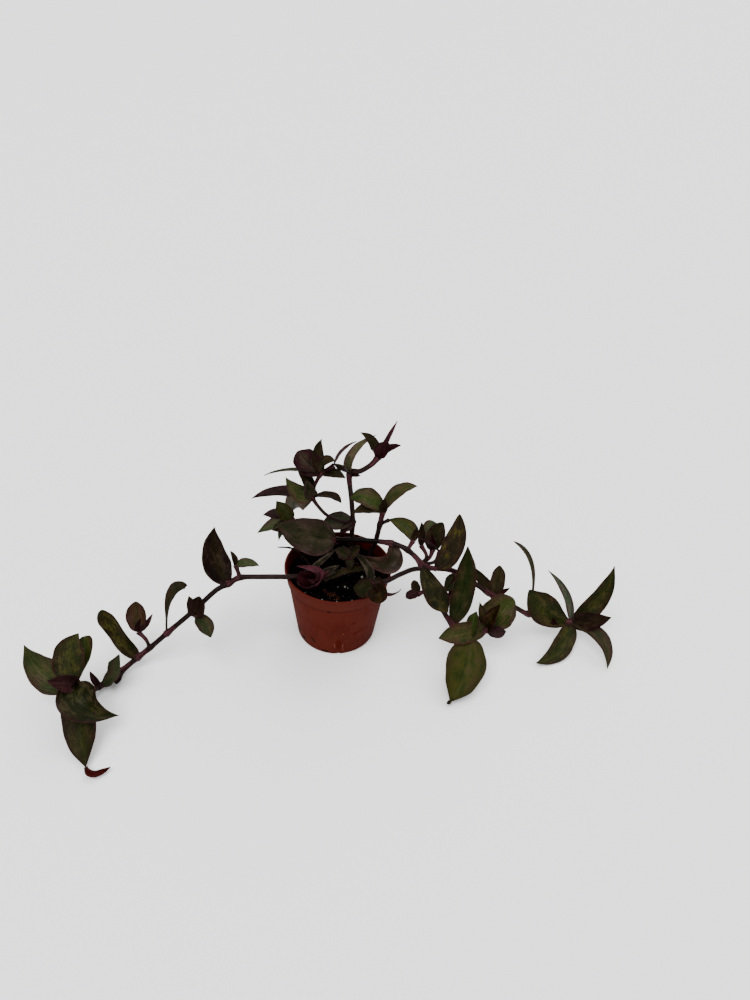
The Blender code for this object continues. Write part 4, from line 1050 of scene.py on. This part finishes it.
def potWall(shape):
    # Foot, outer wall, collar, lip, inner wall and floor edge in one turned surface. Beside a flute the wall
    # gives way to a leaning cylinder, and the foot is lifted where it meets the arch of a notch.
    top, wall, floor, foot = (shape[key] for key in ("height", "wall", "floorTop", "footInner"))
    base, rim, flute, notch = (shape[key + "Radius"] for key in ("base", "rim", "flute", "notch"))
    collar, inner, outside = top - shape["bandDepth"], top - shape["lipDepth"], rim - shape["lip"]
    collarRadius = wallRadius(collar, shape) + shape["bandStep"]
    reach = shape["drainCircle"] + shape["drainReach"]
    points = [
        (reach, shape["underside"], 0), (foot - 1, shape["underside"], 0.3), (foot, 0, 0.4), (base, 0, 1.9),
        (wallRadius(collar, shape), collar, 0.3), (collarRadius, collar, 0.35),
        (outside, inner, 0.25), (rim, inner, 0.25), (rim, top, 0.45), (outside - wall, top, 0.45),
        (collarRadius - wall, collar, 1), (wallRadius(collar - 1.2, shape) - wall, collar - 1.2, 0.6),
        (wallRadius(floor, shape) - wall, floor, 1.5), (reach, floor, 0)]
    radius, height = (x[:, None] for x in roundedProfile(points, shape["profileStep"]))
    angles = turns(shape["drains"] * shape["stepsPerDrain"])[None]
    spacing = 2 * np.pi / shape["quarters"]
    nearest = (angles - math.radians(shape["quarterTurn"]) + spacing / 2) % spacing - spacing / 2
    low = base - shape["fluteDepth"]
    lean = (wallRadius(shape["fluteHeight"], shape) - low) / shape["fluteHeight"]
    axis = low + lean * height + flute
    inside = flute ** 2 - (axis * np.sin(nearest)) ** 2
    cut = axis * np.cos(nearest) - np.sqrt(np.maximum(inside, 0))
    radius = np.where((inside > 0) & (np.cos(nearest) > 0), np.minimum(radius, cut), radius)
    sideways = radius * np.sin(nearest)
    arch = np.sqrt(np.maximum(notch ** 2 - sideways ** 2, 0)) + shape["notchRise"] - notch
    return radius, np.maximum(height, arch)


def addDrains(batch, shape):
    # Round each drain hole the floor is a ring of quads, from the edge of its sector in to the hole,
    # down the hole's wall and out again over the underside
    half = np.pi / shape["drains"]
    steps, across = shape["stepsPerDrain"], 6
    near, far = (shape["drainCircle"] + sign * shape["drainReach"] for sign in (-1, 1))
    arc = np.linspace(-half, half, steps + 1)
    out = np.linspace(near, far, across + 1)
    radius = np.concatenate([np.full(steps, near), out[:-1], np.full(steps, far), out[:0:-1]])
    angle = np.concatenate([arc[:-1], np.full(across, half), arc[:0:-1], np.full(across, -half)])
    edge = together(radius * np.cos(angle), radius * np.sin(angle))
    centre = np.array([shape["drainCircle"], 0.0])
    hole = centre + unit(edge - centre) * shape["drainRadius"]
    rows = [edge, (edge + hole) / 2, hole, hole, (edge + hole) / 2, edge]
    levels = np.repeat([shape["underside"], shape["floorTop"]], 3)
    for turn in (np.arange(shape["drains"]) + 0.5) * 2 * half:
        swing = np.array([[np.cos(turn), np.sin(turn)], [-np.sin(turn), np.cos(turn)]])
        grid = np.stack([together(*(row @ swing).T, level) for row, level in zip(rows, levels)])
        batch.add(grid, [gridFaces(len(rows), len(edge))])


potFinish = {
    "brightness": 0.405,
    "specular": 0.012,
    "roughness": 0.62,
    "skin": (112, 44, 33),
    "deep": (100, 36, 27),
    # collarShadeLine: the dark red of painted shade under the collar's step
    "collarShadeLine": (52, 12, 7),
    "smear": (96, 22, 10),
    "collar": (110, 49, 39),
    "lip": (102, 39, 31),
    # inside: the inner wall's darker red, painted shade
    "inside": (104, 26, 17),
    "soilMark": (30, 10, 7),
    "lime": (176, 112, 92),
    "arcRadius": 45.0,    # turns an angle into the arc that the stains are placed by
    # stains: arc from the front in mm, height, half width, half height, tilt in degrees, strength, kind
    "stains": (
        (-4.3, 66.4, 2.0, 0.9, 0, 1.0, "soilMark"), (19.4, 47.3, 3.6, 1.6, 30, 1.0, "smear"),
        (23.5, 29.6, 4.0, 1.7, 30, 1.0, "smear"), (29.5, 31.4, 3.4, 1.4, 30, 1.0, "smear"),
        (35.8, 32.5, 2.8, 1.2, 35, 0.9, "smear"), (-22.6, 14.5, 1.3, 4.6, 42, 1.0, "soilMark"),
        # the two soil marks at the lower left, at -46 and -38 mm, are dirt made larger and stronger as painted shade
        # on that side
        (-46.0, 14.5, 3.0, 6.0, 10, 0.8, "soilMark"), (-38.3, 8.0, 3.4, 3.0, 0, 0.9, "soilMark"),
        (-9.1, 3.4, 5.0, 1.9, 0, 0.8, "soilMark"), (5.9, 15.0, 3.4, 9.0, 0, 0.9, "smear"),
        (1.7, 13.4, 0.5, 5.0, 8, 0.6, "lime"), (10.5, 12.9, 0.5, 4.0, -6, 0.6, "lime"),
        (2.6, 2.6, 1.4, 0.7, 0, 0.5, "lime"), (10.3, 32.5, 0.9, 0.8, 0, 0.7, "lime"),
        (11.2, 6.5, 0.8, 1.5, 0, 0.4, "lime")),
}


def potSkin(name, look, shape):
    # Clouded terracotta plastic: a brighter lip, a thin line of painted shade under the collar, an inner wall
    # darkened as painted shade, and stains on the front
    paint = Paint(name, look["specular"])
    place = paint.objectPlace()
    x, y, z = paint.parts(place)
    radius = (x * x + y * y) ** 0.5
    height = z * 1000.0
    arc = paint.math("ARCTAN2", x, y * -1.0) * look["arcRadius"]
    cloud = paint.noise(place, 38.0, 4.0, 0.6)
    grain = paint.noise(place, 900.0)
    scuff = paint.streaks(arc * 0.35, height * 0.05, 3.0, 5.0, 0.7)
    ragged = paint.noise(place, 420.0)
    colour = paint.mix((cloud + scuff * 0.4 - 0.2).rise(0.42, 0.66), look["skin"], look["deep"])
    band = shape["height"] - shape["bandDepth"]
    collar = height.rise(band - 0.3, band + 1.0)
    colour = paint.mix(collar * 0.7, colour, look["collar"])
    # Painted shade: a thin dark line just under the collar's step
    collarShadeLine = abs(height - (band + 0.1)).rise(0.2, 1.3)
    colour = paint.mix((1.0 - collarShadeLine) * 0.9, colour, look["collarShadeLine"])
    lean = (wallRadius(shape["height"], shape) - shape["baseRadius"]) / shape["height"]
    wall = (shape["baseRadius"] - 0.7 + collar * shape["bandStep"] + height * lean) * mm
    inside = 1.0 - (radius - wall).rise(-0.0002, 0.0002)
    # Painted shade: the inner wall above the soil is given the darker inside colour
    colour = paint.mix(inside, colour, look["inside"])
    lip = height.rise(shape["height"] - 1.2, shape["height"] - 0.4)
    colour = paint.mix(lip * 0.85, colour, look["lip"])
    outside = 1.0 - inside
    for away, level, wide, tall, tilt, strength, kind in look["stains"]:
        turn = math.radians(tilt)
        along, rise = arc - away, height - level
        first = (along * math.cos(turn) + rise * math.sin(turn)) * (1.0 / wide)
        second = (rise * math.cos(turn) - along * math.sin(turn)) * (1.0 / tall)
        spot = 1.0 - ((first * first + second * second) ** 0.5 + (ragged - 0.5) * 1.2).rise(0.6, 1.15)
        colour = paint.mix(spot * outside * strength, colour, look[kind])
    dust = paint.noise(place, 260.0, 5.0, 0.75)
    foot = 1.0 - height.rise(0.0, 16.0)
    splash = (dust + foot * 0.07).rise(0.70, 0.76) * outside
    colour = paint.mix(splash * 0.6, colour, look["soilMark"])
    wet = (dust + (1.0 - (height - 66.0).rise(0.0, 12.0)) * 0.12).rise(0.55, 0.62) * inside
    colour = paint.mix(wet * 0.8, colour, look["soilMark"])
    shade = 1.0 + (grain - 0.5) * 0.16 + (cloud - 0.5) * 0.2
    colour = paint.tint(colour, shade * look["brightness"])
    roughness = look["roughness"] + (cloud - 0.5) * 0.2 + splash * 0.3 + (scuff - 0.5) * 0.15
    return paint.finish(colour, roughness, cloud * 1.5 + grain * 0.25 + scuff * 0.6, strength=0.25)


def makePot(shape, material):
    # Wall, the floor's ring of drain holes, the hub under it and the floor's middle
    steps = shape["drains"] * shape["stepsPerDrain"]
    inner, hub, underside = shape["drainCircle"] - shape["drainReach"], shape["hub"], shape["underside"]
    shell = Batch()
    addTurned(shell, *potWall(shape), steps)
    addDrains(shell, shape)
    hubPoints = [(0, 0, 0), (hub, 0, 0.4), (hub + 0.8, underside, 0.3), (inner, underside, 0)]
    addTurned(shell, *roundedProfile(hubPoints, shape["profileStep"]), steps)
    addTurned(shell, np.array([inner, inner / 2, 0.0]), np.full(3, shape["floorTop"]), steps)
    makePiece("pot.shell", shell, material, replaces=["pot"], smooth=38, weld=True)


makePot(pot, potSkin("terracottaPlastic", potFinish, pot))


# The soil and what lies on it

soil = {
    "level": 70.0,
    "relief": 1.3,
    "lumps": ((9.0, 5, 7, 0.5), (4.0, 6, 7, 0.35), (2.2, 7, 12, 0.25)),    # size, seed, how many sines, height
    "fadeWidth": 6.0,     # in which the lumps sink towards the wall
    "clearance": 0.35,
    "rings": 90,
    "steps": 240,
    "seeds": {"crumbs": (21, 22), "perlite": (31, 32), "bark": (41, 42, 43)},
    "wallGap": 2.6,       # that loose grains keep from the wall
    "crumbs": 1900,
    "crumbSize": (0.3, 1.3),
    # perlite lumps of their own: x, y, size
    "perlite": ((-29.0, -27.5, 2.0), (-29.5, -34.9, 1.1), (7.2, -28.5, 0.8), (8.2, -15.8, 1.6), (11.2, -17.0, 1.1),
                (1.5, -16.5, 0.9), (-0.2, -8.0, 0.8), (24.0, -1.2, 2.4), (29.6, 5.3, 2.6), (36.8, 0.1, 1.9),
                (-8.1, 25.8, 1.3), (-9.6, 31.9, 1.2), (16.3, -34.5, 1.2), (-4.8, -33.8, 1.0), (2.0, -37.5, 1.1),
                (-12.0, -34.5, 1.2), (26.0, 21.0, 1.1), (12.0, 32.0, 1.2), (-22.0, 18.0, 1.0)),
    "perliteScale": 0.72,
    "morePerlite": 12,
    "perliteSize": (0.25, 0.7),
    "barkHeap": (-4.0, -29.0, 9.0, 6.0),      # middle and half sizes of the fibres' heap
    # fibres, then chips: how many, length, thickness
    "bark": ((60, (0.5, 1.7), (0.15, 0.35)), (40, (0.8, 2.2), (0.3, 0.7))),
}


def soilHeight(x, y, look):
    # Two low crossed waves, and finer lumps at three sizes that fade out at the wall
    hills = np.sin(0.31 * x + 0.7) * np.cos(0.27 * y - 0.4) + 0.6 * np.sin(0.53 * y + 0.23 * x)
    lumps = 0
    for size, seed, count, height in look["lumps"]:
        random = np.random.default_rng(seed)
        directions = unit(random.normal(size=(count, 3))) * random.uniform(0.6, 1.9, (count, 1))
        phases = random.uniform(0.0, 2.0 * np.pi, count)
        swing = together(x, y, 0 * x) @ directions.T * (2.0 * np.pi / size) + phases
        lumps = lumps + np.sin(swing).sum(axis=-1) / math.sqrt(count * 2.0) * height
    edge = wallRadius(look["level"], pot)
    fade = np.clip((edge - np.hypot(x, y)) / look["fadeWidth"], 0.15, 1.0)
    return look["level"] + look["relief"] * hills + lumps * fade


def makeSoil(look, shape, material):
    # A disc of rings that follow the soil's height, then down inside the pot's wall and in over its floor
    gap = look["clearance"] + shape["wall"]
    collar, floor = shape["height"] - shape["bandDepth"], shape["floorTop"] + look["clearance"]
    outer = wallRadius(look["level"], shape) + shape["bandStep"] - gap
    angles = turns(look["steps"])[None]
    rings = outer * np.linspace(0, 1, look["rings"])[:, None] ** 0.8
    x, y = rings * np.cos(angles), rings * np.sin(angles)
    radius, level = np.array([
        (outer, collar + 0.6), (wallRadius(collar - 2.5, shape) - gap, collar - 2.5),
        (wallRadius(5.0, shape) - gap, 5.5), (wallRadius(3.0, shape) - gap - 1.6, floor),
        (20.0, floor), (0.0, floor)]).T[..., None]
    side = together(radius * np.cos(angles), radius * np.sin(angles), level)
    grid = np.concatenate([together(x, y, soilHeight(x, y, look)), side])
    batch = Batch()
    batch.add(grid, [gridFaces(*grid.shape[:2])])
    makePiece("soil.plug", batch, material, replaces=["soil"], smooth=70, weld=True)


soilFinish = {
    "specular": 0.01,
    "roughness": 0.85,
    "dark": (2, 1, 1),
    "light": (6, 4, 3),
    # colours of the grains, and how they share out where they aren't even
    "crumbs": (((1, 1, 1), (3, 2, 2), (6, 4, 3), (13, 8, 6), (24, 15, 11)), (0.44, 0.34, 0.16, 0.05, 0.01)),
    "perlite": (((84, 82, 77), (104, 102, 95), (56, 53, 48)), None),
    "bark": (((66, 34, 22), (46, 22, 14), (78, 46, 32), (30, 17, 12)), None),
    # material, roughness, noise scale, specular
    "grains": {"crumbs": ("soilCrumb", 0.9, 900.0, 0.01), "perlite": ("perlite", 0.8, 1400.0, 0.05),
               "bark": ("bark", 0.8, 700.0, 0.03)},
}


def soilSkin(name, look):
    # Dark clods with cracks between them
    paint = Paint(name, look["specular"])
    place = paint.objectPlace()
    clods = paint.noise(place, 260.0, 6.0, 0.7)
    fine = paint.noise(place, 1500.0, 4.0, 0.7)
    crack = paint.pits(place, 620.0)
    colour = paint.mix((clods + fine * 0.4).rise(0.62, 0.86), look["dark"], look["light"])
    colour = paint.tint(colour, 0.6 + crack * 0.8)
    roughness = look["roughness"] + (fine - 0.5) * 0.2
    return paint.finish(colour, roughness, clods * 2.0 + fine * 0.8 + crack, depth=0.0006, strength=0.8)


def grainSkin(name, roughness, scale, specular):
    # Loose grains: each has its own colour, mottled and rough
    paint = Paint(name, specular)
    place = paint.objectPlace()
    spread = paint.noise(place, scale, 4.0, 0.7)
    pit = paint.pits(place, scale * 2.2)
    colour = paint.tint(paint.attribute("grainTone", "Color"), 0.55 + spread * 0.7 + pit * 0.3)
    return paint.finish(colour, roughness + (spread - 0.5) * 0.15, spread + pit, depth=0.0003, strength=0.8)


# An icosahedron of twelve corners and twenty faces stands for every grain
golden = (1 + 5 ** 0.5) / 2
grainCorners = unit(np.array([
    (-1, golden, 0), (1, golden, 0), (-1, -golden, 0), (1, -golden, 0), (0, -1, golden), (0, 1, golden),
    (0, -1, -golden), (0, 1, -golden), (golden, 0, -1), (golden, 0, 1), (-golden, 0, -1), (-golden, 0, 1)], float))
grainFaces = np.array([
    (0, 11, 5), (0, 5, 1), (0, 1, 7), (0, 7, 10), (0, 10, 11), (1, 5, 9), (5, 11, 4), (11, 10, 2), (10, 7, 6),
    (7, 1, 8), (3, 9, 4), (3, 4, 2), (3, 2, 6), (3, 6, 8), (3, 8, 9), (4, 9, 5), (2, 4, 11), (6, 2, 10), (8, 6, 7),
    (9, 8, 1)])


def layGrains(kind, random, places, sizes, seed, finish, lumps=0.25):
    # Every grain is the same body with its corners pushed in or out, stretched to its sizes and turned at
    # random, in one of the colours of its kind
    count = len(places)
    tones, shares = finish[kind]
    picked = random.choice(len(tones), count, p=shares)
    random = np.random.default_rng(seed)
    pushed = grainCorners[None] * (1 + random.uniform(-lumps, lumps, (count, 12, 1)))
    turn, _ = np.linalg.qr(random.normal(size=(count, 3, 3)))
    turn = turn * np.sign(np.linalg.det(turn))[:, None, None]
    corners = np.einsum("nij,nkj->nki", turn, pushed * sizes[:, None]) + places[:, None]
    faces = (grainFaces[None] + np.arange(count)[:, None, None] * 12).reshape(-1, 3)
    colours = np.array([paintColour(tone) for tone in tones])[picked]
    grains = Batch()
    grains.add(corners, [faces], grainTone=np.repeat(colours, 12, axis=0))
    makePiece("soil." + kind, grains, grainSkin(*finish["grains"][kind]), smooth=30)


def scatter(count, reach, seed):
    # Places spread evenly over a disc, with the random source that they came from
    random = np.random.default_rng(seed)
    radius, angle = reach * random.uniform(0, 1, count) ** 0.5, random.uniform(0, 2 * np.pi, count)
    return random, radius * np.cos(angle), radius * np.sin(angle)


def dressSoil(look, finish, shape):
    # Crumbs all over, the perlite's known lumps and a few more, a heap of bark fibres and bark chips all over
    reach = wallRadius(look["level"], shape) - look["wallGap"]
    place, shaping = look["seeds"]["crumbs"]
    random, x, y = scatter(look["crumbs"], reach, place)
    least, most = look["crumbSize"]
    size = least + (most - least) * random.uniform(0, 1, len(x)) ** 3
    places = together(x, y, soilHeight(x, y, look) + size * 0.25)
    layGrains("crumbs", random, places, size[:, None] * random.uniform(0.6, 1.2, (len(x), 3)), shaping, finish)

    place, shaping = look["seeds"]["perlite"]
    random, x, y = scatter(look["morePerlite"], reach, place)
    size = random.uniform(*look["perliteSize"], len(x))
    known = np.array(look["perlite"]) * [1, 1, look["perliteScale"]]
    x, y, size = (np.concatenate(pair) for pair in zip((x, y, size), known.T))
    places = together(x, y, soilHeight(x, y, look) + size * 0.35)
    sizes = size[:, None] * random.uniform(0.7, 1.1, (len(x), 3))
    layGrains("perlite", random, places, sizes, shaping, finish, lumps=0.18)

    middleX, middleY, halfX, halfY = look["barkHeap"]
    place, shaping, chipPlace = look["seeds"]["bark"]
    fibres = look["bark"][0][0]
    random, x, y = scatter(fibres, 1.0, place)
    x, y = middleX + x * halfX - y * 2, middleY - x * halfX * 0.5 + y * halfY
    _, chipX, chipY = scatter(look["bark"][1][0], reach, chipPlace)
    x, y = np.concatenate([x, chipX]), np.concatenate([y, chipY])
    length, thick = (np.concatenate([random.uniform(*sort[k], sort[0]) for sort in look["bark"]]) for k in (1, 2))
    places = together(x, y, soilHeight(x, y, look) + 0.3 + thick * 0.3)
    places[:fibres, 2] += random.uniform(0, 1.0, fibres)
    layGrains("bark", random, places, together(length, thick * 1.4, thick * 0.8), shaping, finish)


makeSoil(soil, pot, soilSkin("soil", soilFinish))
dressSoil(soil, soilFinish, pot)


# The dead twig over the rim

twig = {
    "route": ((-30, 8, 50), (-30, 8, 71), (-30, 8, 76), (-42, 14, 85), (-50, 18, 86), (-63, 20, 84)),
    "step": 0.8,
    "radius": 1.0,
    "ripples": ((0.12, 41), (0.08, 97)),    # of the radius, and how fast they follow each other
    "taper": 0.75,
    "sides": 14,
    "bark": (20, 10, 9),
    "pale": (38, 24, 20),
    "specular": 0.05,
    "roughness": 0.7,
}


def twigSkin(name, look):
    # Dark bark with paler streaks and knots
    paint = Paint(name, look["specular"])
    run, around, _ = paint.parts("stemPlace")
    streak = paint.streaks(run * 0.3, around * 3.0, 2.0, 5.0, 0.7)
    knots = paint.streaks(run * 0.9, around * 0.4, 9.0, 2.0)
    colour = paint.mix((streak * 0.7 + knots * 0.4).rise(0.5, 0.7), look["bark"], look["pale"])
    return paint.finish(colour, look["roughness"] + streak * 0.15, streak * 1.5 + knots, depth=0.0003, strength=0.8)


def makeTwig(shape, material):
    # A tube with two fine ripples, drawn in to a point at its end
    route = smoothRoute(shape["route"], shape["step"])
    run = np.linspace(0, 1, len(route))
    swell = 1
    for size, rate in shape["ripples"]:
        swell = swell + size * np.sin(run * rate)
    radius = shape["radius"] * swell * (1 - shape["taper"] * run ** 14)
    stalk = Batch()
    addTube(stalk, route, radius[:, None], shape["sides"], 0.0, np.zeros(len(route)), 3)
    makePiece("twig", stalk, material, replaces=["dead_twig"], smooth=60)


makeTwig(twig, twigSkin("deadTwig", twig))


# Floor and light

studio = {
    "floorHalf": 60.0,
    "floorHeight": -0.0003,
    "floorColour": (248, 248, 247),
    "floorSpecular": 0.1,
    "skyColour": (1.0, 1.0, 1.0, 1.0),
    "skyStrength": 0.5,
    # suns: direction that the light goes in, strength, spread in degrees
    "suns": (((0.25, 0.45, -1.0), 3.6, 40.0), ((-0.5, -0.1, -1.0), 1.4, 60.0), ((-0.3, -0.9, -0.9), 1.6, 50.0)),
}


def makeStudio(look):
    # A wide pale floor, an even sky and soft suns
    half, level = look["floorHalf"], look["floorHeight"]
    mesh = bpy.data.meshes.new("floor")
    corners = [(-half, -half, level), (half, -half, level), (half, half, level), (-half, half, level)]
    mesh.from_pydata(corners, [], [(0, 1, 2, 3)])
    paint = Paint("paleFloor", look["floorSpecular"])
    faint = paint.noise(paint.objectPlace(), 9.0)
    colour = paint.tint(look["floorColour"], 0.99 + faint * 0.02)
    mesh.materials.append(paint.finish(colour, 0.8 + faint * 0.1))
    newObject("floor", mesh)
    world = bpy.data.worlds.new("studio")
    world.use_nodes = True
    background = world.node_tree.nodes["Background"]
    background.inputs["Color"].default_value = look["skyColour"]
    background.inputs["Strength"].default_value = look["skyStrength"]
    bpy.context.scene.world = world
    for index, (direction, strength, spread) in enumerate(look["suns"]):
        lamp = bpy.data.lights.new(f"sun{index}", "SUN")
        lamp.energy = strength
        lamp.angle = math.radians(spread)
        newObject(lamp.name, lamp).rotation_euler = Vector(direction).to_track_quat("-Z", "Y").to_euler()


makeStudio(studio)
print("floor and light made")
